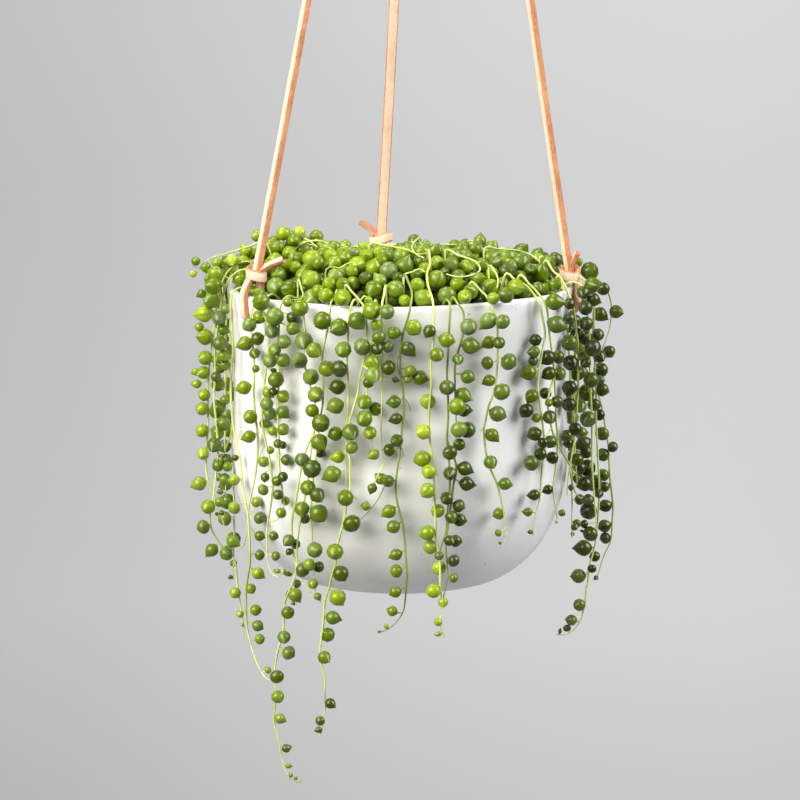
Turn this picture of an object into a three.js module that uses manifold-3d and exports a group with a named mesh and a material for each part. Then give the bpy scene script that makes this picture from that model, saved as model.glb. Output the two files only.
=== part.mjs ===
// A string of pearls in a hanging pot of glazed stoneware, on three leather laces.
// Millimetres, +Z up, the front faces -Y. The origin is where a hook carries the laces' loop.
// All sub-parts are placed from the middle of the pot's rim, and the whole is moved at the end.
import * as THREE from "three";
import { mergeVertices } from "three/addons/utils/BufferGeometryUtils.js";
import Module from "manifold-3d";

// ---- Driving dimensions, mm ----
const GAP = 0.3; // clearance between pieces that touch
const SIDES = 30; // flats round the pot

// The pot: a hand-formed wall, its outside given as [depth below the rim, radius].
const POT_WALL = 4.5;
const POT_FLOOR = 7;
const POT_OUTSIDE = [
  [0, 86], [16, 84.5], [38, 83], [62, 83.5], [82, 84.4], [97, 83.4],
  [110, 80.3], [122, 75.3], [132, 69], [140, 61], [145.5, 52], [148.5, 41],
];
const CORNER_WALL = 7.2; // how thick the wall is where it meets the floor
const RIM_ROUND = 1.6; // radius that softens both edges of the lip
const RIM_WAVE = 0.7; // how far the hand-cut lip rises and falls
const WAVE_DEPTH = 13.5; // below the rim, where that unevenness ends
const OVAL = 0.35; // how far the wall is out of round

// The soil and the heap of stems and pearls that hides it.
const SOIL_DEPTH = 18;
const CROWN_RADIUS = 60;
const CROWN_TOP = 15;
const CROWN_PEARLS = 84;
const CROWN_SUNK = 1.4; // how deep a pearl's root stands in the heap's core
const CROWN_SIDES = 14; // flats of the core

// Pearls and stems.
const PEARL_RADIUS = 4.1;
const PEARL_SIDES = 4;
const PEARL_ROOM = 1.04; // the ball kept clear for a pearl, over its radius
const PEARL_PITCH = 24;
const FIRST_PEARL = 20; // along the stem from its end in the soil
const TIP_RADIUS = 2.0;
const TIP_TAPER = 34; // the last length of a strand, over which the pearls get smaller
const STEM_RADIUS = 0.9;
const STEM_SIDES = 3;
const STEM_STEP = 20;
const STEM_PARTS = [0, 0.2, 0.4, 0.6, 0.8]; // where along each stretch the stem's room is marked
const ROOT_HOLE = 1.9;
const ROOT_DEPTH = 5;
const ROOT_RINGS = [68.5, 72.5]; // neighbouring strands stand in these two rings by turns

// The laces: flat thongs, one through each hole below the rim.
const LACE_WIDTH = 4.6;
const LACE_THICK = 3;
const HOLE_RADIUS = 4;
const DRILL = { length: 24, sides: 12 };
const HITCH = { low: 5.6, high: 5.2, height: 6.5, sides: 8, flat: 0.85 }; // two radii, and how flat it is
const BIGHT_STEPS = 16;
const TAIL_SHARE = 0.8; // a cut end is this much slimmer than its lace
const APEX = new THREE.Vector3(15, 0, 436); // where the laces enter the gathering knot
const APEX_SPREAD = 4; // how far each lace stands from the knot's axis there
const HITCH_ROOM = 6.5; // radii of the room kept clear of pearls round a hitch and round a thong
const THONG_ROOM = 3;
const RISER_PART = 0.1; // the share of a riser that pearls could reach, and the steps along it
const RISER_STEP = 0.009;
const GATHER_HEIGHT = 24;
const GATHER_RADIUS = 7.5;
const LOOP_HEIGHT = 40;
const LOOP_WIDTH = 20;
const LOOP_STEPS = 20;
const GATHER_TAILS = [-118, 11, 136]; // azimuths of the three cut ends under the gathering knot
const GATHER_TAIL_DROP = 12;

// Where each lace is hitched, as [radius, height above the rim], and its short cut end.
const LACES = [
  { name: "left", azimuth: -60, holeDepth: 11.5, hitch: [80.5, 11], tail: [13, -2.5, 7.5] },
  { name: "right", azimuth: 86, holeDepth: 13.5, hitch: [84.5, 7], tail: [4, -3, 10.5] },
  { name: "back", azimuth: 187, holeDepth: 13.5, hitch: [82, 15.5], tail: [-11, 2, 8.5] },
];

// Strands seen from the front. azimuth is measured from the front, + to the right, and a route's
// points are [azimuth, depth below the rim, distance outside the rim if it isn't the strand's own].
const FRONT_STRANDS = [
  { name: "far_left", arch: 8, out: 9.5, route: [[-88, 15], [-88, 47], [-88, 84], [-87, 101],
    [-87, 114, 8.5], [-87, 127, 4.5], [-86, 137, -1.5], [-86, 150, -5], [-86, 164, -7],
    [-86, 175, -6.5]] },
  { name: "left_short", arch: 9, out: 4.5, route: [[-80, 12], [-82, 50], [-82, 75], [-80, 92],
    [-76, 112]] },
  { name: "left_bare", arch: 7, out: 2.5, route: [[-73, 12], [-74, 46], [-69, 68], [-64, 90], [-61, 113],
    [-58, 134], [-60, 162], [-56, 180], [-51, 190], [-47.5, 196]] },
  { name: "left_wavy", arch: 8, out: 2.5, route: [[-54, 12], [-53, 31], [-49, 60], [-43.5, 93],
    [-46, 118], [-47, 130], [-42, 141]] },
  { name: "left_thin", arch: 10, out: 2.8, route: [[-45, 12], [-42, 40], [-38.5, 70], [-38.5, 95],
    [-39.5, 108]] },
  { name: "longest", arch: 8, out: 2.5, route: [[-34, 12], [-31, 35], [-29.3, 64], [-32, 78], [-33.6, 99],
    [-35.2, 112], [-35.2, 132], [-38.4, 143], [-39.3, 156], [-42.7, 174], [-42.7, 198], [-40, 214],
    [-37.6, 225], [-33, 229]] },
  { name: "cluster_left", arch: 11, out: 3.2, route: [[-26, 12], [-24, 40], [-25, 70], [-28, 100],
    [-28, 118], [-27, 131]] },
  { name: "cluster_right", arch: 8, out: 2.8, route: [[-21, 12], [-19.5, 30], [-20, 55], [-21.5, 75],
    [-22, 92]] },
  { name: "second_longest", arch: 10, out: 2.5, route: [[-16.5, 12], [-15.5, 35], [-14.9, 61],
    [-16.8, 81], [-18.8, 106], [-20.5, 117], [-23.7, 138], [-25, 155], [-25.4, 166], [-23.3, 176],
    [-24, 190], [-27, 205]] },
  { name: "centre_left_short", arch: 8, out: 2.8, route: [[-11.5, 12], [-10.5, 34], [-10.5, 52],
    [-10.8, 64]] },
  { name: "centre_left", arch: 11, out: 2.6, route: [[-6.5, 12], [-5.5, 39], [-6, 57], [-5.5, 78],
    [-6.5, 92]] },
  { name: "centre", arch: 8, out: 2.8, route: [[0, 12], [0, 35], [0, 60], [-1, 82], [1.6, 110], [-1, 126],
    [-2.6, 144], [-6.5, 154]] },
  { name: "centre_right", arch: 12, out: 2.8, route: [[10.7, 12], [9.7, 38], [9.5, 70], [10.7, 90],
    [10.7, 107], [12.4, 124], [12.8, 140], [13.7, 159]] },
  { name: "joined_right", arch: 9, out: 3, route: [[16.5, 12], [15.8, 35], [14.8, 60], [16.7, 77],
    [16, 92], [16.8, 107], [18, 124], [17.5, 140]] },
  { name: "right_short", arch: 8, out: 2.6, route: [[22.5, 12], [22, 30], [21.5, 50], [21.5, 66]] },
  { name: "right_wavy", arch: 11, out: 2.6, route: [[31, 12], [32, 24], [31, 36], [27.5, 54], [28.3, 72],
    [32, 86], [34.2, 102], [33, 115]] },
  { name: "right_thin", arch: 9, out: 2.6, route: [[50, 10], [48.5, 37], [50.2, 58], [52, 70], [50.5, 88],
    [45.5, 111]] },
  { name: "right_inner", arch: 10, out: 2.6, route: [[60, 12], [59.5, 38], [61, 66], [60.5, 80],
    [57.5, 94], [59.2, 106]] },
  { name: "right_dense", arch: 8, out: 3, route: [[69, 12], [71, 40], [70.5, 70], [69, 95], [68, 110]] },
  { name: "right_trail", arch: 9, out: 6, route: [[77, 15], [78.5, 50], [79, 90], [78, 120], [77, 135],
    [76, 152]] },
  { name: "right_long", arch: 8, out: 12, route: [[80.5, 24], [83.5, 50], [85, 76], [86, 98], [86, 113],
    [86, 132, 10.5], [86, 147, 7], [86, 163, 4], [86, 172, -1], [86, 176, -7]] },
  { name: "right_outer", arch: 11, out: 17, route: [[94, 18, 9], [93, 46, 14], [92, 90, 20],
    [91.5, 120, 19.5], [91, 138, 15], [91, 147, 11]] },
];

// Strands that hang down the back, spaced and swayed by a seeded rule.
const BACK_SEED = 2711;
const BACK_COUNT = 16;
const BACK_FROM = 101;
const BACK_TO = 263;
const BACK_LENGTHS = [70, 205];
const BACK_STEP = 24; // depth from one point of a route to the next
const LACE_BERTH = 5.5; // degrees between the back lace and a strand

const CERAMIC = { color: 0xf2f1ec, roughness: 0.16, metalness: 0 };
const SOIL = { color: 0x2b1f17, roughness: 0.95, metalness: 0 };
const LEATHER = { color: 0xdca67c, roughness: 0.75, metalness: 0 };
const LEAF = { color: 0x6f9424, roughness: 0.38, metalness: 0 };
const CROWN_LEAF = { color: 0x55781f, roughness: 0.42, metalness: 0 };

const wasm = await Module();
wasm.setup();

// ---- Small helpers ----

// A closed geometry as a solid that can be joined and cut.
function solidOf(geometry) {
  const bare = geometry.index ? geometry.toNonIndexed() : geometry.clone();
  bare.deleteAttribute("normal");
  bare.deleteAttribute("uv");
  const merged = mergeVertices(bare, 1e-4);
  return new wasm.Manifold(new wasm.Mesh({
    numProp: 3,
    vertProperties: merged.attributes.position.array,
    triVerts: new Uint32Array(merged.index.array),
  }));
}

function geometryOf(solid) {
  const mesh = solid.getMesh();
  const geometry = new THREE.BufferGeometry();
  geometry.setAttribute("position", new THREE.BufferAttribute(new Float32Array(mesh.vertProperties), 3));
  geometry.setIndex(new THREE.BufferAttribute(new Uint32Array(mesh.triVerts), 1));
  geometry.computeVertexNormals();
  return geometry;
}

function joined(geometries) {
  return geometries.map(solidOf).reduce((whole, piece) => whole.add(piece));
}

function meshOf(name, geometry, look) {
  const mesh = new THREE.Mesh(geometry, new THREE.MeshStandardMaterial(look));
  mesh.name = name;
  return mesh;
}

// Even draws from 0 to 1 that are the same on every run.
function drawsFrom(seed) {
  let state = seed;
  return () => {
    state = (state * 16807) % 2147483647;
    return state / 2147483647;
  };
}

const radians = (degrees) => (degrees * Math.PI) / 180;

// A point given by its azimuth from the front, its radius and its height.
function around(azimuth, radius, z) {
  const a = radians(azimuth);
  return new THREE.Vector3(radius * Math.sin(a), -radius * Math.cos(a), z);
}

function outsideRadius(depth) {
  const last = POT_OUTSIDE.length - 1;
  const next = POT_OUTSIDE.findIndex(([d]) => d >= depth);
  if (next < 0) return POT_OUTSIDE[last][1];
  if (next === 0) return POT_OUTSIDE[0][1];
  const [d0, r0] = POT_OUTSIDE[next - 1];
  const [d1, r1] = POT_OUTSIDE[next];
  return r0 + ((r1 - r0) * (depth - d0)) / (d1 - d0);
}

// The wall is slightly oval, and its lip rises and falls as it was cut by hand.
function handFormed(geometry) {
  const position = geometry.attributes.position;
  for (let i = 0; i < position.count; i++) {
    const [x, y, z] = [position.getX(i), position.getY(i), position.getZ(i)];
    const radius = Math.hypot(x, y);
    const angle = Math.atan2(y, x);
    const swell = 1 + (OVAL / POT_OUTSIDE[0][1]) * Math.sin(2 * angle + 0.6);
    const nearLip = radius > CROWN_RADIUS ? Math.max(0, 1 + z / WAVE_DEPTH) : 0;
    const lift = RIM_WAVE * nearLip * (0.6 * Math.sin(2 * angle + 2.4) + 0.4 * Math.sin(5 * angle));
    position.setXYZ(i, x * swell, y * swell, z + lift);
  }
  return geometry;
}

function turned(profile, sides) {
  const geometry = new THREE.LatheGeometry(profile.map(([r, z]) => new THREE.Vector2(r, z)), sides);
  return geometry.rotateX(Math.PI / 2);
}

// A bar of one section swept along points, its width square to the plane that the points lie in.
function swept(points, halfWidth, halfThick, steps) {
  const section = new THREE.Shape();
  section.moveTo(-halfWidth, -halfThick);
  section.lineTo(halfWidth, -halfThick);
  section.lineTo(halfWidth, halfThick);
  section.lineTo(-halfWidth, halfThick);
  return new THREE.ExtrudeGeometry(section, {
    steps,
    bevelEnabled: false,
    extrudePath: new THREE.CatmullRomCurve3(points, false, "catmullrom", 0.5),
  });
}

// ---- The pot and its soil ----

// The inner wall needs fewer rings than the outside.
function insideDepths(floor) {
  return POT_OUTSIDE.map(([d]) => d).filter((d, i) => i > 0 && i % 2 === 0 && d < floor - 4);
}

function potProfile() {
  const outside = POT_OUTSIDE.slice(1).map(([d, r]) => [r, -d]);
  const floor = POT_OUTSIDE.at(-1)[0] - POT_FLOOR;
  const inside = insideDepths(floor).map((d) => [outsideRadius(d) - POT_WALL, -d]);
  const inner = POT_OUTSIDE[0][1] - POT_WALL;
  const outer = POT_OUTSIDE[0][1];
  return [
    [0, -POT_OUTSIDE.at(-1)[0]],
    ...outside.reverse(),
    [outer, -RIM_ROUND], [outer - RIM_ROUND, 0], [inner + RIM_ROUND, 0], [inner, -RIM_ROUND],
    ...inside,
    [outsideRadius(floor) - CORNER_WALL, -floor],
    [0, -floor],
  ];
}

function pot() {
  let body = solidOf(handFormed(turned(potProfile(), SIDES)));
  for (const { azimuth, holeDepth } of LACES) {
    const drill = new THREE.CylinderGeometry(HOLE_RADIUS, HOLE_RADIUS, DRILL.length, DRILL.sides);
    const middle = around(azimuth, POT_OUTSIDE[0][1] - POT_WALL / 2, -holeDepth);
    drill.rotateZ(radians(azimuth));
    drill.translate(middle.x, middle.y, middle.z);
    body = body.subtract(solidOf(drill));
  }
  return geometryOf(body);
}

function soil(roots) {
  const floor = POT_OUTSIDE.at(-1)[0] - POT_FLOOR;
  const wall = insideDepths(floor).map((d) => [outsideRadius(d) - POT_WALL - GAP - 0.1, -d]);
  const top = outsideRadius(SOIL_DEPTH) - POT_WALL - GAP - 0.1;
  const foot = outsideRadius(floor) - CORNER_WALL - 2 * GAP;
  const profile = [
    [0, GAP - floor], [foot, GAP - floor], ...wall.reverse(), [top, -SOIL_DEPTH], [0, -SOIL_DEPTH],
  ];
  let body = solidOf(handFormed(turned(profile, SIDES)));
  for (const root of roots) {
    const hole = new THREE.CylinderGeometry(ROOT_HOLE, ROOT_HOLE, 2 * ROOT_DEPTH, 4);
    hole.rotateX(Math.PI / 2);
    hole.translate(root.x, root.y, -SOIL_DEPTH);
    body = body.subtract(solidOf(hole));
  }
  return geometryOf(body);
}

// ---- Laces ----

// The middle of the thong through the wall, as [radius, z]: from its hitch down the outside, in by
// the hole and up the inside.
function bightOf({ holeDepth, hitch: [radius, height] }) {
  return [
    [radius + 2.2, height - 1], [88.4, 3], [89, -3], [88.8, 4.5 - holeDepth], [87, 0.5 - holeDepth],
    [83.5, -holeDepth], [80, 0.1 - holeDepth], [77.7, 3.5 - holeDepth], [77.4, -3], [78.4, 3],
    [radius - 2.4, height - 1.5],
  ];
}

function hitchOf({ azimuth, hitch: [radius, height] }) {
  return around(azimuth, radius, height);
}

function tailEnd(each) {
  return hitchOf(each).add(new THREE.Vector3(...each.tail));
}

function lace(each) {
  const { azimuth } = each;
  const [width, thick] = [LACE_WIDTH * TAIL_SHARE, LACE_THICK * TAIL_SHARE];
  const knot = hitchOf(each);
  const middle = bightOf(each).map(([r, z]) => new THREE.Vector3(r, 0, z));
  const bight = swept(middle, LACE_WIDTH / 2, LACE_THICK / 2, BIGHT_STEPS);
  bight.rotateZ(radians(azimuth - 90));
  const top = around(azimuth, APEX_SPREAD, -GAP).add(APEX);
  const riser = bar(knot, top, LACE_WIDTH, LACE_THICK, azimuth);
  const wrap = new THREE.CylinderGeometry(HITCH.high, HITCH.low, HITCH.height, HITCH.sides);
  wrap.rotateX(Math.PI / 2).scale(1, HITCH.flat, 1);
  wrap.rotateZ(radians(azimuth)).applyQuaternion(upTo(APEX.clone().sub(knot)));
  wrap.translate(knot.x, knot.y, knot.z);
  const end = bar(knot, tailEnd(each), width, thick, azimuth);
  return geometryOf(joined([riser, bight, wrap, end]));
}

// The turn that takes +Z to a direction.
function upTo(direction) {
  return new THREE.Quaternion().setFromUnitVectors(new THREE.Vector3(0, 0, 1), direction.normalize());
}

// A straight length of thong from one point to another, its flat side facing away from the pot.
function bar(from, to, width, thick, azimuth) {
  const along = to.clone().sub(from);
  const box = new THREE.BoxGeometry(width, thick, along.length());
  box.rotateZ(radians(azimuth)).applyQuaternion(upTo(along));
  const middle = from.clone().add(to).multiplyScalar(0.5);
  return box.translate(middle.x, middle.y, middle.z);
}

// The laces' upper ends are gathered in a wrapped knot, three turns of thong on one another.
function gatheringKnot() {
  const turn = GATHER_HEIGHT / 4;
  const profile = [[0, 0], [GATHER_RADIUS * 0.7, 0]];
  for (let i = 0; i < 4; i++) {
    profile.push([GATHER_RADIUS, turn * (i + 0.25)], [GATHER_RADIUS, turn * (i + 0.75)]);
    profile.push([GATHER_RADIUS * (i < 3 ? 0.86 : 0.7), turn * (i + 1)]);
  }
  profile.push([0, GATHER_HEIGHT]);
  const tails = GATHER_TAILS.map((azimuth) => bar(
    around(azimuth, GATHER_RADIUS * 0.65, turn), around(azimuth, GATHER_RADIUS * 1.5, -GATHER_TAIL_DROP),
    LACE_WIDTH * TAIL_SHARE, LACE_THICK * TAIL_SHARE, azimuth,
  ));
  return geometryOf(joined([turned(profile, 10), ...tails])).translate(APEX.x, APEX.y, APEX.z);
}

function hangingLoop() {
  const [w, h] = [LOOP_WIDTH / 2, LOOP_HEIGHT];
  const half = [[0.26, 0], [0.3, 0.06], [0.85, 0.4], [1, 0.66], [0.62, 0.93]];
  const points = [
    ...half.map(([x, z]) => new THREE.Vector3(-x * w, 0, z * h)),
    new THREE.Vector3(0, 0, h),
    ...half.reverse().map(([x, z]) => new THREE.Vector3(x * w, 0, z * h)),
  ];
  const loop = swept(points, LACE_WIDTH / 2, LACE_THICK / 2, LOOP_STEPS);
  return loop.translate(APEX.x, APEX.y, APEX.z + GATHER_HEIGHT + GAP);
}

// ---- The plant ----

// One pearl along +Z from its root at the origin: a round leaf with a blunt root and a beak.
function pearl(radius) {
  const profile = [[0, 0], [0.82, 0.46], [0.86, 1.26], [0, 2.1]];
  return turned(profile.map(([r, z]) => [r * radius, z * radius]), PEARL_SIDES);
}

function pearlAt(root, direction, radius) {
  return pearl(radius).applyQuaternion(upTo(direction)).translate(root.x, root.y, root.z);
}

// Everything that a pearl must keep clear of, as balls that belong to a named piece.
const taken = [];

function take(owner, centre, radius) {
  taken.push({ owner, centre, radius });
}

function isFree(owner, centre, radius) {
  const apart = (ball) => ball.centre.distanceTo(centre) > ball.radius + radius + GAP;
  return taken.every((ball) => ball.owner === owner || apart(ball));
}

function clearOfPot({ x, y, z }, radius) {
  const r = Math.hypot(x, y);
  if (r < CROWN_RADIUS + 3 + radius) return false;
  if (z - radius > RIM_WAVE + 2 * GAP) return true;
  if (r > POT_OUTSIDE[0][1] - POT_WALL / 2) return r - radius > outsideRadius(-z) + OVAL + GAP;
  return r + radius < outsideRadius(-z) - POT_WALL - OVAL - GAP && z - radius > GAP - SOIL_DEPTH;
}

// The route of a strand: up out of the soil, over the rim, then down through its own points.
function routeOf({ arch, out, route }, index) {
  const rim = POT_OUTSIDE[0][1];
  const [azimuth] = route[0];
  const root = ROOT_RINGS[index % ROOT_RINGS.length];
  return [
    around(azimuth, root, -SOIL_DEPTH - ROOT_DEPTH + GAP),
    around(azimuth, root, -SOIL_DEPTH + 2),
    around(azimuth, root + 3, arch - 6),
    around(azimuth, rim - 5, arch),
    around(azimuth, rim + Math.max(3.8, 0.6 * out), -1),
    ...route.map(([a, depth, outward = out]) => around(a, rim + outward, -depth)),
  ];
}

function backStrands() {
  const draw = drawsFrom(BACK_SEED);
  const backLace = LACES[2].azimuth;
  return Array.from({ length: BACK_COUNT }, (_, i) => {
    let azimuth = BACK_FROM + ((BACK_TO - BACK_FROM) * i) / (BACK_COUNT - 1) + 2 * (draw() - 0.5);
    const aside = azimuth - backLace;
    if (Math.abs(aside) < LACE_BERTH) azimuth = backLace + Math.sign(aside) * LACE_BERTH;
    const length = BACK_LENGTHS[0] + (BACK_LENGTHS[1] - BACK_LENGTHS[0]) * draw();
    const [phase, sway] = [2 * Math.PI * draw(), 0.8 + 0.9 * draw()];
    const route = [];
    for (let depth = 12; depth < length; depth += BACK_STEP) {
      route.push([azimuth + sway * Math.sin(phase + depth / 22), depth]);
    }
    return { name: "back_" + (i + 1), arch: 8 + 3 * draw(), out: 2.6 + 1.6 * draw(), route };
  });
}

// The leaves of a strand sit by turns on its two sides, and face outwards where there is room.
const LEAN_CHOICES = [0.45, 0.9, 1.35, 0.15];

function strandPearls(owner, curve, draw) {
  const length = curve.getLength();
  const joints = stemJoints(curve);
  const pearls = [];
  let side = draw() < 0.5 ? -1 : 1;
  for (let s = length - TIP_RADIUS; s > FIRST_PEARL; s -= PEARL_PITCH * (0.9 + 0.2 * draw())) {
    const place = (s / length) * (joints.length - 1);
    const below = Math.floor(place);
    const root = joints[below].clone().lerp(joints[below + 1], place - below);
    if (root.z < -6 && Math.hypot(root.x, root.y) < POT_OUTSIDE[0][1]) continue;
    const shrink = Math.min(1, (length - s) / TIP_TAPER);
    const radius = TIP_RADIUS + (PEARL_RADIUS - TIP_RADIUS) * shrink;
    const along = joints[below + 1].clone().sub(joints[below]).normalize();
    const level = new THREE.Vector3(root.x, root.y, 0).normalize();
    const across = new THREE.Vector3().crossVectors(along, level).normalize();
    const outward = new THREE.Vector3().crossVectors(across, along).normalize();
    side = -side;
    for (const [turn, lean] of [side, -side].flatMap((t) => LEAN_CHOICES.map((l) => [t, l]))) {
      const direction = across.clone().multiplyScalar(turn * Math.cos(lean));
      direction.addScaledVector(outward, Math.sin(lean));
      const centre = root.clone().addScaledVector(direction, radius);
      if (!isFree(owner, centre, radius * PEARL_ROOM) || !clearOfPot(centre, radius)) continue;
      take(owner, centre, radius * PEARL_ROOM);
      pearls.push(pearlAt(root, direction, radius));
      break;
    }
  }
  return pearls;
}

// A stem is straight between these points, and its leaves sit on those straight stretches.
function stemJoints(curve) {
  return curve.getSpacedPoints(Math.max(6, Math.round(curve.getLength() / STEM_STEP) + 2));
}

function strandStem(curve) {
  const section = new THREE.Shape();
  for (let i = 0; i < STEM_SIDES; i++) {
    const a = (2 * Math.PI * i) / STEM_SIDES;
    section[i ? "lineTo" : "moveTo"](STEM_RADIUS * Math.cos(a), STEM_RADIUS * Math.sin(a));
  }
  const steps = stemJoints(curve).length - 1;
  return new THREE.ExtrudeGeometry(section, { steps, bevelEnabled: false, extrudePath: curve });
}

// The heap over the soil: a low dome, covered with pearls that stand on it by their roots.
function crown() {
  const low = GAP - SOIL_DEPTH;
  const profile = [
    [0, low], [CROWN_RADIUS - 4, low], [CROWN_RADIUS - 1, low + 8], [CROWN_RADIUS - 5, low + 18],
    [CROWN_RADIUS * 0.72, CROWN_TOP - 7], [CROWN_RADIUS * 0.4, CROWN_TOP - 1.5], [0, CROWN_TOP],
  ];
  const dome = (middle) => {
    const radius = middle / Math.cos(Math.PI / CROWN_SIDES);
    const next = Math.max(4, profile.findIndex(([r], i) => i > 3 && r <= radius));
    const [[r0, z0], [r1, z1]] = [profile[next - 1], profile[next]];
    return z0 + ((z1 - z0) * (radius - r0)) / (r1 - r0);
  };
  const pearls = [];
  for (let i = 0; i < CROWN_PEARLS; i++) {
    const radius = (CROWN_RADIUS - 6) * Math.sqrt((i + 0.5) / CROWN_PEARLS);
    const azimuth = i * 137.508;
    const root = around(azimuth, radius, dome(radius) - CROWN_SUNK);
    const direction = around(azimuth, radius / CROWN_RADIUS, 1.1).normalize();
    take("crown", root.clone().addScaledVector(direction, PEARL_RADIUS), PEARL_RADIUS * PEARL_ROOM);
    pearls.push(pearlAt(root, direction, PEARL_RADIUS));
  }
  return geometryOf(joined([turned(profile, CROWN_SIDES), ...pearls]));
}

// The room round a lace that no pearl may enter.
function takeLace(each) {
  const knot = hitchOf(each);
  take("lace", knot, HITCH_ROOM);
  take("lace", knot.clone().lerp(tailEnd(each), TAIL_SHARE), THONG_ROOM);
  for (const [r, z] of bightOf(each)) take("lace", around(each.azimuth, r, z), THONG_ROOM);
  for (let part = RISER_STEP; part < RISER_PART; part += RISER_STEP) {
    take("lace", knot.clone().lerp(APEX, part), THONG_ROOM);
  }
}

function takeStem(name, joints) {
  for (let i = 1; i < joints.length; i++) {
    for (const part of STEM_PARTS) take(name, joints[i - 1].clone().lerp(joints[i], part), STEM_RADIUS);
  }
}

// ---- Assembly ----

function build() {
  const plant = new THREE.Group();
  plant.position.set(-APEX.x, -APEX.y, -(APEX.z + GATHER_HEIGHT + GAP + LOOP_HEIGHT - LACE_THICK / 2));
  plant.add(meshOf("crown", crown(), CROWN_LEAF));
  for (const each of LACES) {
    plant.add(meshOf("lace_" + each.name, lace(each), LEATHER));
    takeLace(each);
  }
  plant.add(meshOf("gathering_knot", gatheringKnot(), LEATHER));
  plant.add(meshOf("hanging_loop", hangingLoop(), LEATHER));
  const strands = [...FRONT_STRANDS, ...backStrands()].map((strand, i) => {
    const points = routeOf(strand, i);
    return { ...strand, points, curve: new THREE.CatmullRomCurve3(points, false, "catmullrom", 0.5) };
  });
  for (const { name, curve } of strands) {
    takeStem(name, stemJoints(curve));
  }
  const draw = drawsFrom(BACK_SEED + 1);
  for (const { name, curve } of strands) {
    const whole = joined([strandStem(curve), ...strandPearls(name, curve, draw)]);
    plant.add(meshOf("strand_" + name, geometryOf(whole), LEAF));
  }
  plant.add(meshOf("soil", soil(strands.map(({ points }) => points[0])), SOIL));
  plant.add(meshOf("pot", pot(), CERAMIC));
  return plant;
}

export default new THREE.Group().add(build());
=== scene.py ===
"""A string of pearls in a glazed stoneware pot that hangs on three leather laces.

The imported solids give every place: this script stands a finer piece where each solid stands, and adds
the leaves, kinks and cut edges that the solids leave out. Places are worked out in millimetres from
the middle of the pot's rim, X to the right, Y to the back and Z up, and go to metres when a mesh is
made. An azimuth is measured from the front, + to the right as seen from there.
"""

from __future__ import annotations

import logging
import math
from contextlib import contextmanager
from dataclasses import dataclass, field, replace
from enum import Enum
from typing import Iterator, Sequence

import bpy
import numpy as np
from mathutils import Matrix, Vector, noise

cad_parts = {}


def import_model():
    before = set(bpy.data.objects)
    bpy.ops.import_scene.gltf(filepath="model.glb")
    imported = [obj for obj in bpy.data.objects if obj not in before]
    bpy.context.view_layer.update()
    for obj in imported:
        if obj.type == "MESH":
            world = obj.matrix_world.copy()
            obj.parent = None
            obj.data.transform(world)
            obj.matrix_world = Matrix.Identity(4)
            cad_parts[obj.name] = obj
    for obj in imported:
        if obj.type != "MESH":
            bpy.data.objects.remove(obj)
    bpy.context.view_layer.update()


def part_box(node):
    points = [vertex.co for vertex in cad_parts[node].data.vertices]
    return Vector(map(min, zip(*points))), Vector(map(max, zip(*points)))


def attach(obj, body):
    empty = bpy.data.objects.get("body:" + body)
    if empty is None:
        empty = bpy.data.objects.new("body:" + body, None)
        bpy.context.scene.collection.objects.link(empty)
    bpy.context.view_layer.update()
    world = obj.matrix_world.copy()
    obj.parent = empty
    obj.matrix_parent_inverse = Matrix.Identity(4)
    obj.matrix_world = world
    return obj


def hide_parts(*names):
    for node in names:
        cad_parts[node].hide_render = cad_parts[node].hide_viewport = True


LOG = logging.getLogger("string_of_pearls")
BODY = "root"
MM = 0.001
Array = np.ndarray
Pair = tuple[float, float]
Point = tuple[float, float, float]
Piece = bpy.types.Object
Tree = bpy.types.NodeTree
Material = bpy.types.Material
Socket = bpy.types.NodeSocket

# ---- Driving sizes, mm, the same as the solids' but for the laces' width ----
POT_OUTSIDE = (
    (0, 86), (16, 84.5), (38, 83), (62, 83.5), (82, 84.4), (97, 83.4),
    (110, 80.3), (122, 75.3), (132, 69), (140, 61), (145.5, 52), (148.5, 41),
)  # depth below the rim, radius
POT_RADIUS = POT_OUTSIDE[0][1]
POT_DEPTH = POT_OUTSIDE[-1][0]
POT_WALL = 4.5
POT_FLOOR = 7.0
CORNER_WALL = 7.2  # the wall's thickness where it turns into the floor
RIM_ROUND = 1.6
RIM_WAVE = 0.7  # how far the lip rises and falls
WAVE_DEPTH = 13.5  # how far down the wall that reaches
OVAL = 0.35  # how far the pot is from round
SOIL_DEPTH = 18.0
ROOT_DEPTH = 5.0
ROOT_RINGS = (68.5, 72.5)  # neighbouring strands stand in these two rings by turns
LACE_WIDTH = 5.1  # 4.6 in the solids, and matched to the picture once more here
LACE_THICK = 3.0
TAIL_WIDTH = 3.7  # a cut end is pared down
TAIL_THICK = 2.4
HOLE_RADIUS = 4.0
APEX = (15.0, 0.0, 436.0)  # where the laces enter the gathering knot
APEX_SPREAD = 4.0
GATHER_HEIGHT = 24.0
GATHER_RADIUS = 7.5
GATHER_TAILS = (-118, 11, 136)  # azimuths of the cut ends
GATHER_TAIL_DROP = 12.0
LOOP_HEIGHT = 40.0
LOOP_WIDTH = 20.0
GAP = 0.3  # between touching solids

# ---- Sizes of the leaves and stems, mm ----
LEAF_RADIUS = 3.75
TIP_RADIUS = 1.5
BUD_RADIUS = 1.7  # a smaller leaf is still a bud
TIP_TAPER = 26.0  # the last length of a strand, over which the leaves get smaller
STEM_RADIUS = 0.52
PEDICEL = 1.5  # the little stalk between a stem and its leaf
CLEAR = 0.12  # the least gap between two leaves


# ---- Places ----


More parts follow.
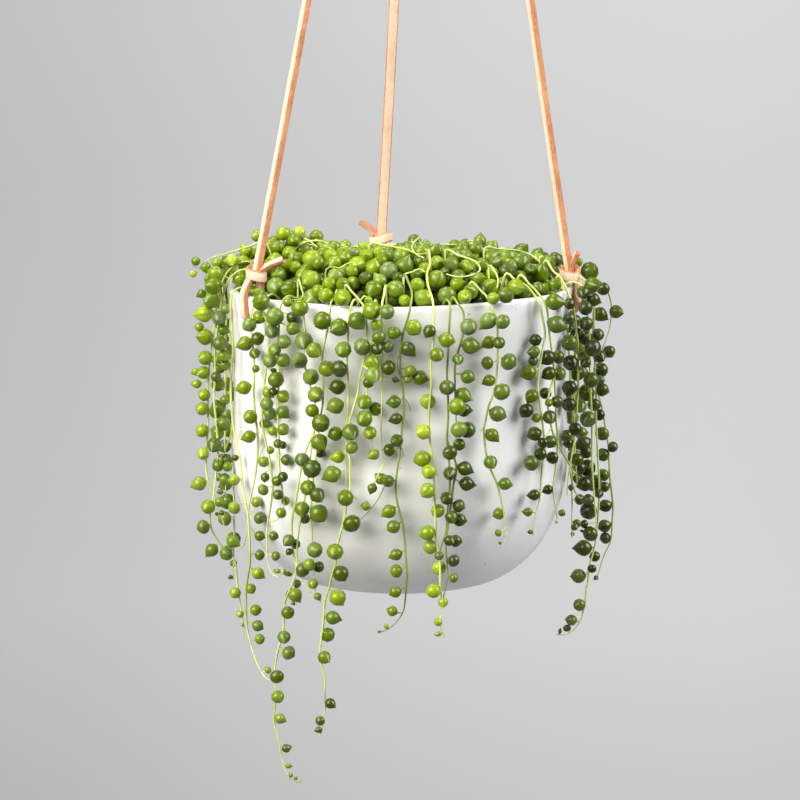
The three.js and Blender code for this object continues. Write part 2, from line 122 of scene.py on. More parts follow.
@dataclass(frozen=True)
class Datum:
    """The middle of the pot's rim, from which every place is measured."""

    rim: Vector

    @classmethod
    def from_frame(cls) -> Datum:
        """Works the datum out from the pot's solid."""
        low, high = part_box("pot")
        middle = (low + high) / 2
        return cls(Vector((middle.x, middle.y, low.z + POT_DEPTH * MM)))

    def metres(self, points: Array | Sequence[float]) -> Array:
        """Takes millimetres from the rim's middle to metres in the scene."""
        return np.asarray(points, float) * MM + np.array(self.rim)


def around(azimuth: float, radius: float, height: float) -> Array:
    """A point given by its azimuth from the front, its radius and its height."""
    a = math.radians(azimuth)
    return np.array((radius * math.sin(a), -radius * math.cos(a), height))


def outside_radius(depth: float) -> float:
    """The pot's outer radius at a depth below its rim."""
    depths, radii = zip(*POT_OUTSIDE)
    return float(np.interp(depth, depths, radii))


def catmull_rom(points: Sequence[Array], per_span: int = 24) -> Array:
    """A uniform Catmull-Rom curve through points.

    Args:
        points: the points, as rows.
        per_span: how many points the curve gets from one to the next.

    Returns:
        The curve's points, the last given point among them.
    """
    points = np.asarray(points, float)
    padded = np.vstack([2 * points[0] - points[1], points, 2 * points[-1] - points[-2]])
    t = np.linspace(0, 1, per_span, endpoint=False)[:, None]
    spans = []
    for p0, p1, p2, p3 in zip(padded, padded[1:], padded[2:], padded[3:]):
        leave, arrive = (p2 - p0) / 2, (p3 - p1) / 2
        spans.append(
            (2 * t**3 - 3 * t**2 + 1) * p1 + (t**3 - 2 * t**2 + t) * leave
            + (3 * t**2 - 2 * t**3) * p2 + (t**3 - t**2) * arrive
        )
    return np.vstack([*spans, points[-1:]])


def spaced(curve: Array, step: float) -> Array:
    """The same curve with its points about step apart."""
    lengths = np.r_[0, np.cumsum(np.linalg.norm(np.diff(curve, axis=0), axis=1))]
    count = max(2, round(lengths[-1] / step) + 1)
    wanted = np.linspace(0, lengths[-1], count)
    return np.stack([np.interp(wanted, lengths, curve[:, k]) for k in range(3)], axis=1)


def unit(vector: Array) -> Array:
    """The vector at length one."""
    return vector / max(float(np.linalg.norm(vector)), 1e-9)


def solid_draws(state: int) -> Iterator[float]:
    """Even draws from 0 to 1, the same as the solids' own."""
    while True:
        state = (state * 16807) % 2147483647
        yield state / 2147483647


# ---- Modelling helpers ----


@contextmanager
def edit_mode(piece: Piece, kind: str = "", chosen: Sequence[int] = ()) -> Iterator[None]:
    """Shapes a piece in edit mode.

    Args:
        piece: the piece.
        kind: "vertices" or "edges" where only some are selected at the start, or nothing for all.
        chosen: the numbers of those that are.
    """
    pick(piece)
    bpy.ops.object.mode_set(mode="EDIT")
    bpy.ops.mesh.select_all(action="DESELECT" if kind else "SELECT")
    if kind:
        bpy.ops.object.mode_set(mode="OBJECT")
        for index in chosen:
            getattr(piece.data, kind)[index].select = True
        bpy.ops.object.mode_set(mode="EDIT")
    try:
        yield
    finally:
        bpy.ops.object.mode_set(mode="OBJECT")


def pick(*pieces: Piece) -> None:
    """Selects these pieces alone, the first of them active."""
    bpy.ops.object.select_all(action="DESELECT")
    for piece in pieces:
        piece.select_set(True)
    bpy.context.view_layer.objects.active = pieces[0]


def with_modifier(piece: Piece, kind: str, **settings: object) -> None:
    """Gives a piece a modifier and applies it."""
    pick(piece)
    modifier = piece.modifiers.new(kind.title(), kind)
    for key, value in settings.items():
        setattr(modifier, key, value)
    bpy.ops.object.modifier_apply(modifier=modifier.name)


def linked(name: str, data: bpy.types.ID) -> Piece:
    """A new object with this data, in the scene."""
    piece = bpy.data.objects.new(name, data)
    bpy.context.scene.collection.objects.link(piece)
    return piece


def turned(name: str, profile: Sequence[Pair], sides: int, datum: Datum) -> Piece:
    """A closed body turned about the pot's axis, extruded ring by ring from the disc of its foot.

    Args:
        name: the piece's name.
        profile: (radius, height) of each ring, the foot's first.
        sides: how many faces go round.
        datum: where the axis stands.

    Returns:
        The piece, closed by the last ring's disc.
    """
    (radius, height), *rest = profile
    centre = datum.metres((0, 0, height))
    bpy.ops.mesh.primitive_circle_add(vertices=sides, radius=radius * MM, fill_type="NGON", location=centre)
    piece = bpy.context.object
    piece.name = name
    bpy.ops.object.transform_apply(location=True, rotation=True, scale=True)
    with edit_mode(piece):
        for next_radius, next_height in rest:
            rise = (next_height - height) * MM
            bpy.ops.mesh.extrude_region_move(TRANSFORM_OT_translate={"value": (0, 0, rise)})
            share = next_radius / radius
            bpy.ops.transform.resize(value=(share, share, 1), center_override=centre)
            radius, height = next_radius, next_height
        bpy.ops.mesh.select_all(action="SELECT")
        bpy.ops.mesh.normals_make_consistent(inside=False)
    return piece


def curve_piece(
    name: str, lines: Sequence[Array], datum: Datum, section: Piece | None = None, radius: float = 0.0,
    radii: Sequence[Array] | None = None, tilt: float | Array = 0.0, twist: str = "MINIMUM",
    closed: bool = False, sides: int = 2,
) -> Piece:
    """A thread or strap drawn as a curve and turned to a mesh.

    Args:
        name: the piece's name.
        lines: each spline's points, mm.
        datum: where they are measured from.
        section: the closed curve that is swept, or None for a round section.
        radius: the round section's radius, mm.
        radii: for each line, how thick it is at each point, as a share.
        tilt: how far the section is turned about the line, in degrees, everywhere or at each point.
        twist: how Blender carries the section along.
        closed: whether each line runs back to its start.
        sides: how round the round section is.

    Returns:
        The piece, with its ends closed and its faces turned outwards.
    """
    data = bpy.data.curves.new(name, "CURVE")
    data.dimensions = "3D"
    data.twist_mode = twist
    data.use_fill_caps = not closed
    if section is None:
        data.bevel_depth = radius * MM
        data.bevel_resolution = sides
    else:
        data.bevel_mode = "OBJECT"
        data.bevel_object = section
    for number, line in enumerate(lines):
        spline = data.splines.new("POLY")
        spline.points.add(len(line) - 1)
        spline.use_cyclic_u = closed
        places = datum.metres(line)
        tilts = np.broadcast_to(np.radians(tilt), len(line))
        for index, (point, place) in enumerate(zip(spline.points, places)):
            point.co = (*place, 1)
            point.tilt = float(tilts[index])
            point.radius = 1 if radii is None else float(radii[number][index])
    pick(linked(name, data))
    bpy.ops.object.convert(target="MESH")
    piece = bpy.context.object
    with edit_mode(piece):
        bpy.ops.mesh.remove_doubles(threshold=1e-6)
        bpy.ops.mesh.normals_make_consistent(inside=False)
    return piece


def strap_section(width: float, thick: float, corner: float) -> Piece:
    """The section of a flat thong, as a closed curve with its width along X.

    Args:
        width: across the flat side, mm.
        thick: across the narrow side, mm.
        corner: the radius of the eased corners, mm.
    """
    data = bpy.data.curves.new("strap_section", "CURVE")
    data.dimensions = "2D"
    spline = data.splines.new("POLY")
    corners = []
    for side_x, side_y, start in ((1, 1, 0), (-1, 1, 90), (-1, -1, 180), (1, -1, 270)):
        for step in (0, 45, 90):
            a = math.radians(start + step)
            x = side_x * (width / 2 - corner) + corner * math.cos(a)
            corners.append((x, side_y * (thick / 2 - corner) + corner * math.sin(a)))
    spline.points.add(len(corners) - 1)
    for point, (x, y) in zip(spline.points, corners):
        point.co = (x * MM, y * MM, 0, 1)
    spline.use_cyclic_u = True
    return linked("strap_section", data)


def smooth(piece: Piece, angle: float = 40.0) -> None:
    """Shades a piece smooth, apart from edges sharper than angle."""
    pick(piece)
    bpy.ops.object.shade_smooth_by_angle(angle=math.radians(angle))


def dress(piece: Piece, slot: str, materials: Sequence[Material], *nodes: str) -> Piece:
    """Gives a finished piece its materials, puts it on the body, and hides the solids that it stands for.

    Args:
        piece: the piece.
        slot: not used.
        materials: what it is made of, where it has no material yet.
        nodes: the solids' names.

    Returns:
        The same piece.
    """
    piece.data.name = piece.name
    if not piece.data.materials:
        for material in materials:
            piece.data.materials.append(material)
    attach(piece, BODY)
    if nodes:
        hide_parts(*nodes)
    return piece


# ---- Finishes ----


def linear(code: str) -> tuple[float, float, float, float]:
    """A colour given as an sRGB hex code, as Blender's linear values."""
    channels = [int(code[i : i + 2], 16) / 255 for i in (1, 3, 5)]
    values = [c / 12.92 if c <= 0.04045 else ((c + 0.055) / 1.055) ** 2.4 for c in channels]
    return (*values, 1.0)


def pattern_scale(size: float) -> float:
    """The scale of a texture whose features are size millimetres across."""
    return 1 / (size * MM)


def feed(tree: Tree, node: bpy.types.Node, inputs: dict) -> None:
    """Sets each input of a node, or links it where its value is another node's output."""
    for key, value in inputs.items():
        if isinstance(value, Socket):
            tree.links.new(value, node.inputs[key])
        else:
            node.inputs[key].default_value = value


def add_node(tree: Tree, kind: str, inputs: dict | None = None, **settings: object) -> bpy.types.Node:
    """Adds a shader node, sets it, and feeds its inputs."""
    node = tree.nodes.new(kind)
    for key, value in settings.items():
        setattr(node, key, value)
    feed(tree, node, inputs or {})
    return node


MIX_FACTOR, MIX_A, MIX_B, MIX_RESULT = 0, 6, 7, 2  # a colour mix node's sockets


def mixed(tree: Tree, factor: object, first: object, second: object, blend: str = "MIX") -> Socket:
    """The colour between two, each a socket or a code."""
    first, second = (linear(c) if isinstance(c, str) else c for c in (first, second))
    inputs = {MIX_FACTOR: factor, MIX_A: first, MIX_B: second}
    node = add_node(tree, "ShaderNodeMix", inputs, data_type="RGBA", blend_type=blend)
    return node.outputs[MIX_RESULT]


def sums(tree: Tree, operation: str, *values: object) -> Socket:
    """One step of arithmetic."""
    return add_node(tree, "ShaderNodeMath", dict(enumerate(values)), operation=operation).outputs[0]


def times(tree: Tree, first: object, second: object) -> Socket:
    """The product of two values."""
    return sums(tree, "MULTIPLY", first, second)


def ramped(tree: Tree, factor: object, stops: Sequence[tuple[float, str]]) -> Socket:
    """A colour ramp with the given stops."""
    node = add_node(tree, "ShaderNodeValToRGB", {"Fac": factor})
    elements = node.color_ramp.elements
    while len(elements) < len(stops):
        elements.new(0.5)
    for element, (place, code) in zip(elements, stops):
        element.position = place
        element.color = linear(code)
    return node.outputs["Color"]


def noisy(tree: Tree, vector: Socket, size: float, detail: float = 3.0, rough: float = 0.5) -> Socket:
    """Noise from 0 to 1 whose features are size millimetres across."""
    inputs = {"Vector": vector, "Scale": pattern_scale(size), "Detail": detail, "Roughness": rough}
    return add_node(tree, "ShaderNodeTexNoise", inputs).outputs["Fac"]


def stretched(tree: Tree, low: float, high: float, value: Socket, to: Pair = (0.0, 1.0)) -> Socket:
    """A value's stretch from low to high taken to 0 and 1, or to other ends, and no further."""
    inputs = {"Value": value, "From Min": low, "From Max": high, "To Min": to[0], "To Max": to[1]}
    return add_node(tree, "ShaderNodeMapRange", inputs).outputs["Result"]


def bumped(tree: Tree, height: Socket, depth: float) -> Socket:
    """A bump of depth millimetres from a height of 0 to 1."""
    inputs = {"Height": height, "Strength": 1.0, "Distance": depth * MM}
    return add_node(tree, "ShaderNodeBump", inputs).outputs["Normal"]


def new_surface(name: str) -> tuple[Material, Tree, bpy.types.Node, Socket]:
    """Starts a material.

    Args:
        name: the material's name.

    Returns:
        The material, its tree, its Principled shader and the place on the object.
    """
    material = bpy.data.materials.new(name)
    material.use_nodes = True
    tree = material.node_tree
    tree.nodes.clear()
    shader = add_node(tree, "ShaderNodeBsdfPrincipled")
    output = add_node(tree, "ShaderNodeOutputMaterial", {"Surface": shader.outputs["BSDF"]})
    output.is_active_output = True
    place = add_node(tree, "ShaderNodeTexCoord").outputs["Object"]
    return material, tree, shader, place


@dataclass(frozen=True)
class GlazedStoneware:
    """White glaze over hand-formed stoneware: glossy, a little uneven, with a few pin specks."""

    glaze: str = "#f5f5f3"
    thin_glaze: str = "#ecebe6"
    speck: str = "#a39a8b"

    def made(self) -> Material:
        """Builds the material."""
        material, tree, shader, place = new_surface("glazed_stoneware")
        cloud = noisy(tree, place, 34, 2)
        base = mixed(tree, stretched(tree, 0.35, 0.75, cloud), self.glaze, self.thin_glaze)
        speck = stretched(tree, 0.735, 0.76, noisy(tree, place, 1.6, 1))
        rare = stretched(tree, 0.5, 0.62, noisy(tree, place, 14, 1))
        colour = mixed(tree, times(tree, speck, rare), base, self.speck)
        ripple = noisy(tree, place, 21, 1.5)
        skin = {
            "Base Color": colour,
            "Roughness": stretched(tree, 0, 1, noisy(tree, place, 9, 3), (0.2, 0.3)),
            "Normal": bumped(tree, ripple, 0.55),
            "IOR": 1.5,
            "Coat Weight": 0.35,
            "Coat Roughness": 0.12,
        }
        feed(tree, shader, skin)
        return material


@dataclass(frozen=True)
class PottingSoil:
    """Damp peat compost with paler bits of bark and grit."""

    peat: str = "#1d140e"
    crumb: str = "#4a3322"
    grit: str = "#8c7a60"

    def made(self) -> Material:
        """Builds the material."""
        material, tree, shader, place = new_surface("potting_soil")
        crumbs = noisy(tree, place, 2.4, 6, 0.65)
        base = mixed(tree, stretched(tree, 0.42, 0.66, crumbs), self.peat, self.crumb)
        grit = stretched(tree, 0.68, 0.72, noisy(tree, place, 1.1, 2))
        colour = mixed(tree, grit, base, self.grit)
        feed(tree, shader, {"Base Color": colour, "Normal": bumped(tree, crumbs, 1.4), "Roughness": 0.92})
        return material


@dataclass(frozen=True)
class Leather:
    """Undyed leather: a pale smooth grain on the flat, or the rust-coloured fibres of a cut edge."""

    name: str
    pale: str
    deep: str
    fibre: float  # how large the fibres are, mm
    depth: float  # how far they stand out, mm
    roughness: float

    def made(self) -> Material:
        """Builds the material."""
        material, tree, shader, place = new_surface(self.name)
        along = add_node(tree, "ShaderNodeMapping", {"Vector": place, "Scale": (1, 1, 0.35)})
        fibres = noisy(tree, along.outputs["Vector"], self.fibre, 5, 0.62)
        patches = times(tree, noisy(tree, place, 13, 2), 0.4)
        tone = sums(tree, "MULTIPLY_ADD", fibres, 0.6, patches)
        skin = {
            "Base Color": mixed(tree, stretched(tree, 0.36, 0.64, tone), self.pale, self.deep),
            "Normal": bumped(tree, fibres, self.depth),
            "Roughness": self.roughness,
            "Specular IOR Level": 0.35,
        }
        feed(tree, shader, skin)
        return material


@dataclass(frozen=True)
class LeafSkin:
    """The waxy skin of a round leaf, with its narrow window, pale root, dark tip and dusty bloom.

    The mesh's attributes say how light a leaf is (tone, which also holds painted light and shade) and how
    much bloom it has (bloom), and its UV map runs round the leaf in U and from root to tip in V.
    """

    stops: tuple[tuple[float, str], ...] = (
        (0.0, "#283201"), (0.3, "#415102"), (0.55, "#5f7503"), (0.8, "#869e0b"), (1.0, "#abbc28"),
    )
    dust: str = "#8b9c70"
    window: str = "#33510f"
    lip: str = "#b9cf6c"
    point: str = "#6f6a2c"

    def made(self) -> Material:
        """Builds the material."""
        material, tree, shader, place = new_surface("pearl_leaf_skin")
        tone = add_node(tree, "ShaderNodeAttribute", attribute_name="tone").outputs["Fac"]
        bloom = add_node(tree, "ShaderNodeAttribute", attribute_name="bloom").outputs["Fac"]
        unwrapped = add_node(tree, "ShaderNodeUVMap", uv_map=LEAF_MAP).outputs["UV"]
        split = add_node(tree, "ShaderNodeSeparateXYZ", {"Vector": unwrapped})
        round_it, up_it = split.outputs["X"], split.outputs["Y"]
        mottle = noisy(tree, place, 2.6, 3)
        light = sums(tree, "ADD", tone, sums(tree, "MULTIPLY_ADD", mottle, 0.24, -0.12))
        skin = ramped(tree, light, self.stops)
        aside = sums(tree, "ABSOLUTE", sums(tree, "SUBTRACT", round_it, 0.5))
        inside = times(tree, stretched(tree, 0.14, 0.3, up_it), stretched(tree, 0.97, 0.8, up_it))
        edge = times(tree, stretched(tree, 0.085, 0.055, aside), inside)
        skin = mixed(tree, times(tree, edge, 0.08), skin, self.lip)
        slit = times(tree, stretched(tree, 0.034, 0.018, aside), inside)
        skin = mixed(tree, times(tree, slit, 0.38), skin, self.window)
        dusty = times(tree, bloom, stretched(tree, 0.25, 0.75, noisy(tree, place, 3.4, 2)))
        skin = mixed(tree, dusty, skin, self.dust)
        root = times(tree, stretched(tree, 0.12, 0.02, up_it), 0.4)
        skin = mixed(tree, root, skin, self.lip)
        wax = {
            "Base Color": mixed(tree, stretched(tree, 0.955, 0.99, up_it), skin, self.point),
            "Roughness": sums(tree, "MULTIPLY_ADD", dusty, 0.3, 0.16),
            "Normal": bumped(tree, noisy(tree, place, 0.8, 2), 0.03),
            "Subsurface Weight": 0.04,
            "Subsurface Radius": (0.6, 1.0, 0.25),
            "Subsurface Scale": 2.2 * MM,
            "Specular IOR Level": 0.45,
        }
        feed(tree, shader, wax)
        return material


@dataclass(frozen=True)
class StemSkin:
    """The smooth pale stem, browner and duller in stretches where it is older."""

    name: str
    young: str
    old: str
    woody: str = "#7d6b3a"

    def made(self) -> Material:
        """Builds the material."""
        material, tree, shader, place = new_surface(self.name)
        age = noisy(tree, place, 38, 2)
        colour = mixed(tree, stretched(tree, 0.38, 0.68, age), self.young, self.old)
        woody = times(tree, stretched(tree, 0.6, 0.72, noisy(tree, place, 22, 2)), 0.6)
        bark = {
            "Base Color": mixed(tree, woody, colour, self.woody),
            "Normal": bumped(tree, noisy(tree, place, 0.7, 2), 0.05),
            "Roughness": 0.42,
            "Subsurface Weight": 0.1,
            "Subsurface Radius": (0.8, 1.0, 0.3),
            "Subsurface Scale": 0.8 * MM,
        }
        feed(tree, shader, bark)
        return material


@dataclass(frozen=True)
class StudioPaper:
    """The matt pale paper of the floor and wall, with painted light and shade: a little darker to the left,
    and darker lower down towards the floor.
    """

    left: str = "#c4c4c6"
    right: str = "#cfd1d2"
    # shade: the painted shade that the tone is multiplied by towards the floor
    shade: str = "#d2d2d3"  # what the tone is multiplied by at the floor
    half_width: float = 0.62  # metres at the wall over which the tone runs
    fall: Pair = (-1.1, -1.9)  # heights over which it darkens, metres from the rim

    def made(self, rim_height: float) -> Material:
        """Builds the material for a pot whose rim stands at rim_height metres."""
        material, tree, shader, place = new_surface("studio_paper")
        split = add_node(tree, "ShaderNodeSeparateXYZ", {"Vector": place})
        share = stretched(tree, -self.half_width, self.half_width, split.outputs["X"])
        # painted light: the tone runs from the darker left to the lighter right
        colour = mixed(tree, share, self.left, self.right)
        # painted shade: the paper darkens lower down, towards the floor
        high, low = (rim_height + height for height in self.fall)
        down = stretched(tree, high, low, split.outputs["Z"])
        colour = mixed(tree, down, colour, self.shade, "MULTIPLY")
        feed(tree, shader, {"Base Color": colour, "Roughness": 0.9, "Specular IOR Level": 0.1})
        return material


@dataclass
class Finishes:
    """Every finish of the object, each made once."""

    glaze: Material = field(default_factory=GlazedStoneware().made)
    soil: Material = field(default_factory=PottingSoil().made)
    grain: Material = field(
        default_factory=Leather("leather_grain", "#f4dcc3", "#e8c09e", 1.3, 0.05, 0.55).made
    )
    cut: Material = field(
        default_factory=Leather("leather_cut_edge", "#e2a378", "#a86942", 0.55, 0.16, 0.8).made
    )
    leaf: Material = field(default_factory=LeafSkin().made)
    # The two stem finishes are a lit and a shaded copy of one stem: painted light and painted shade, partly
    # also younger and older stems.
    lit_and_young_stem: Material = field(default_factory=StemSkin("pearl_stem_lit_and_young", "#d3de86", "#a8b452").made)
    shaded_and_old_stem: Material = field(default_factory=StemSkin("pearl_stem_shaded_and_old", "#93a04a", "#66702c").made)


# ---- The pot and its soil ----


@dataclass
class Pot:
    """The hand-formed pot: turned, made uneven, and drilled for the laces."""

    datum: Datum
    finishes: Finishes
    sides: int = 128
    dent: float = 0.35  # how far the wall wanders in and out, mm
    ring_step: float = 5.0
    hollow: float = 1.2  # how far the foot is hollowed, mm

    def profile(self) -> list[Pair]:
        """(radius, height) of each ring, from the middle of the foot up, over the lip and down inside."""
        flat = np.array([(r, -d, 0) for d, r in POT_OUTSIDE[1:]])
        flat = np.vstack([[POT_RADIUS, -2 * RIM_ROUND, 0], flat])
        outside = spaced(catmull_rom(flat), self.ring_step)[::-1, :2]
        floor = POT_DEPTH - POT_FLOOR
        inner = POT_RADIUS - POT_WALL
        steps = [math.radians(a) for a in (0, 30, 60, 90)]
        outer_lip = [
            (POT_RADIUS - RIM_ROUND * (1 - math.cos(a)), -RIM_ROUND * (1 - math.sin(a))) for a in steps
        ]
        inner_lip = [(inner + POT_RADIUS - r, z) for r, z in reversed(outer_lip)]
        inside = [(outside_radius(d) - POT_WALL, -d) for d in np.arange(8, floor - 6, 9)]
        ring = outside[0][0]
        foot = [(share * ring, -POT_DEPTH + self.hollow) for share in (0.3, 0.86)]
        return [
            *foot, (ring - 1.5, -POT_DEPTH), *map(tuple, outside), *outer_lip, *inner_lip,
            *inside, (outside_radius(floor) - CORNER_WALL, -floor), (12, -floor),
        ]

    def form_by_hand(self, piece: Piece) -> None:
        """Moves the wall as throwing and trimming leave it: oval, its lip waved, softly dented."""
        rim = np.array(self.datum.rim)
        for vertex in piece.data.vertices:
            x, y, z = formed(*((np.array(vertex.co) - rim) / MM))
            soft = noise.noise(Vector((x, y, z * 1.6)) / 42)
            wander = 1 + self.dent * soft / POT_RADIUS
            vertex.co = self.datum.metres((x * wander, y * wander, z))

    def drill(self, piece: Piece) -> None:
        """Cuts the hole for each lace through the wall."""
        for lace in LACES:
            place = self.datum.metres(around(lace.azimuth, POT_RADIUS - POT_WALL / 2, -lace.hole_depth))
            turn = (math.pi / 2, 0, math.radians(lace.azimuth))
            bpy.ops.mesh.primitive_cylinder_add(
                vertices=32, radius=HOLE_RADIUS * MM, depth=24 * MM, location=place, rotation=turn
            )
            drill = bpy.context.object
            with_modifier(piece, "BOOLEAN", object=drill, operation="DIFFERENCE", solver="EXACT")
            bpy.data.objects.remove(drill)

    def made(self) -> Piece:
        """Builds the piece."""
        piece = turned("pot_body", self.profile(), self.sides, self.datum)
        self.form_by_hand(piece)
        self.drill(piece)
        smooth(piece, 50)
        return dress(piece, "glazed_stoneware", [self.finishes.glaze], "pot")


def formed(x: float, y: float, z: float) -> tuple[float, float, float]:
    """Where a point of the turned wall goes on the slightly oval pot with its waved lip."""
    angle = math.atan2(y, x)
    swell = 1 + OVAL / POT_RADIUS * math.sin(2 * angle + 0.6)
    near_lip = max(0.0, 1 + z / WAVE_DEPTH) if math.hypot(x, y) > 60 else 0.0
    lift = RIM_WAVE * near_lip * (0.6 * math.sin(2 * angle + 2.4) + 0.4 * math.sin(5 * angle))
    return x * swell, y * swell, z + lift


@dataclass
class Soil:
    """The compost, lumpy on top, that fills the pot."""

    datum: Datum
    finishes: Finishes
    lump: float = 1.3

    def made(self) -> Piece:
        """Builds the piece."""
        floor = POT_DEPTH - POT_FLOOR
        depths = np.arange(floor - 10, SOIL_DEPTH, -12)
        wall = [(outside_radius(d) - POT_WALL - 2 * GAP, -d) for d in depths]
        top = wall[-1][0]
        rings = [(top * share, -SOIL_DEPTH) for share in np.arange(0.98, 0.05, -0.05)]
        profile = [(outside_radius(floor) - CORNER_WALL - 1, 1 - floor), *wall, *rings]
        piece = turned("soil_bed", profile, 72, self.datum)
        for vertex in piece.data.vertices:
            x, y, z = (np.array(vertex.co) - np.array(self.datum.rim)) / MM
            if z > -SOIL_DEPTH - 1:
                lift = noise.noise(Vector((x, y, 3)) / 7) + 0.5 * noise.noise(Vector((x, y, 9)) / 3)
                vertex.co = self.datum.metres((x, y, z + self.lump * lift - self.lump))
        smooth(piece, 60)
        return dress(piece, "potting_soil", [self.finishes.soil], "soil")


# ---- Laces ----


@dataclass(frozen=True)
class Lace:
    """Where one lace goes through the wall and is hitched, and how its strap is turned above that."""

    name: str
    azimuth: float
    hole_depth: float
    hitch: Pair  # radius, height
    tail: Point  # from the hitch to the cut end
    turn: float  # of the strap's flat side above the hitch, degrees
    slope: float  # of the hitch's band, degrees
    leg_twist: float = 0.0  # of the strap between its hitch and its hole, degrees

    def bight(self) -> Array:
        """The thong through the wall: down the outside, in by the hole and up the inside."""
        radius, height = self.hitch
        low = -self.hole_depth
        outside = 87.5 + 1.4 * math.sin(math.radians(self.leg_twist))
        start = radius + 2.2
        down = (
            (start, height - 1), ((start + outside) / 2, height / 2 + 0.8), (outside, 0.8), (outside, -4),
            (outside - 0.2, low + 3.4),
        )
        through = ((86.2, low + 0.6), (83.5, low), (80, low + 0.1))
        up = ((77.7, low + 3.5), (77.4, -3), (78.4, 3), (radius - 2.4, height - 1.5))
        return np.array([around(self.azimuth, r, z) for r, z in down + through + up])

    def knot(self) -> Array:
        """The middle of the hitch."""
        return around(self.azimuth, *self.hitch)

    def top(self) -> Array:
        """Where the strap enters the gathering knot."""
        return around(self.azimuth, APEX_SPREAD, -GAP) + np.array(APEX)


LACES = (
    Lace("left", -60, 11.5, (80.5, 10.6), (13, -2.5, 6.8), turn=0, slope=18),
    Lace("right", 86, 13.5, (84.5, 7), (4, -3, 10.5), turn=27, slope=-18, leg_twist=62),
    Lace("back", 187, 13.5, (82, 15.5), (-11, 2, 8.5), turn=-15, slope=12),
)


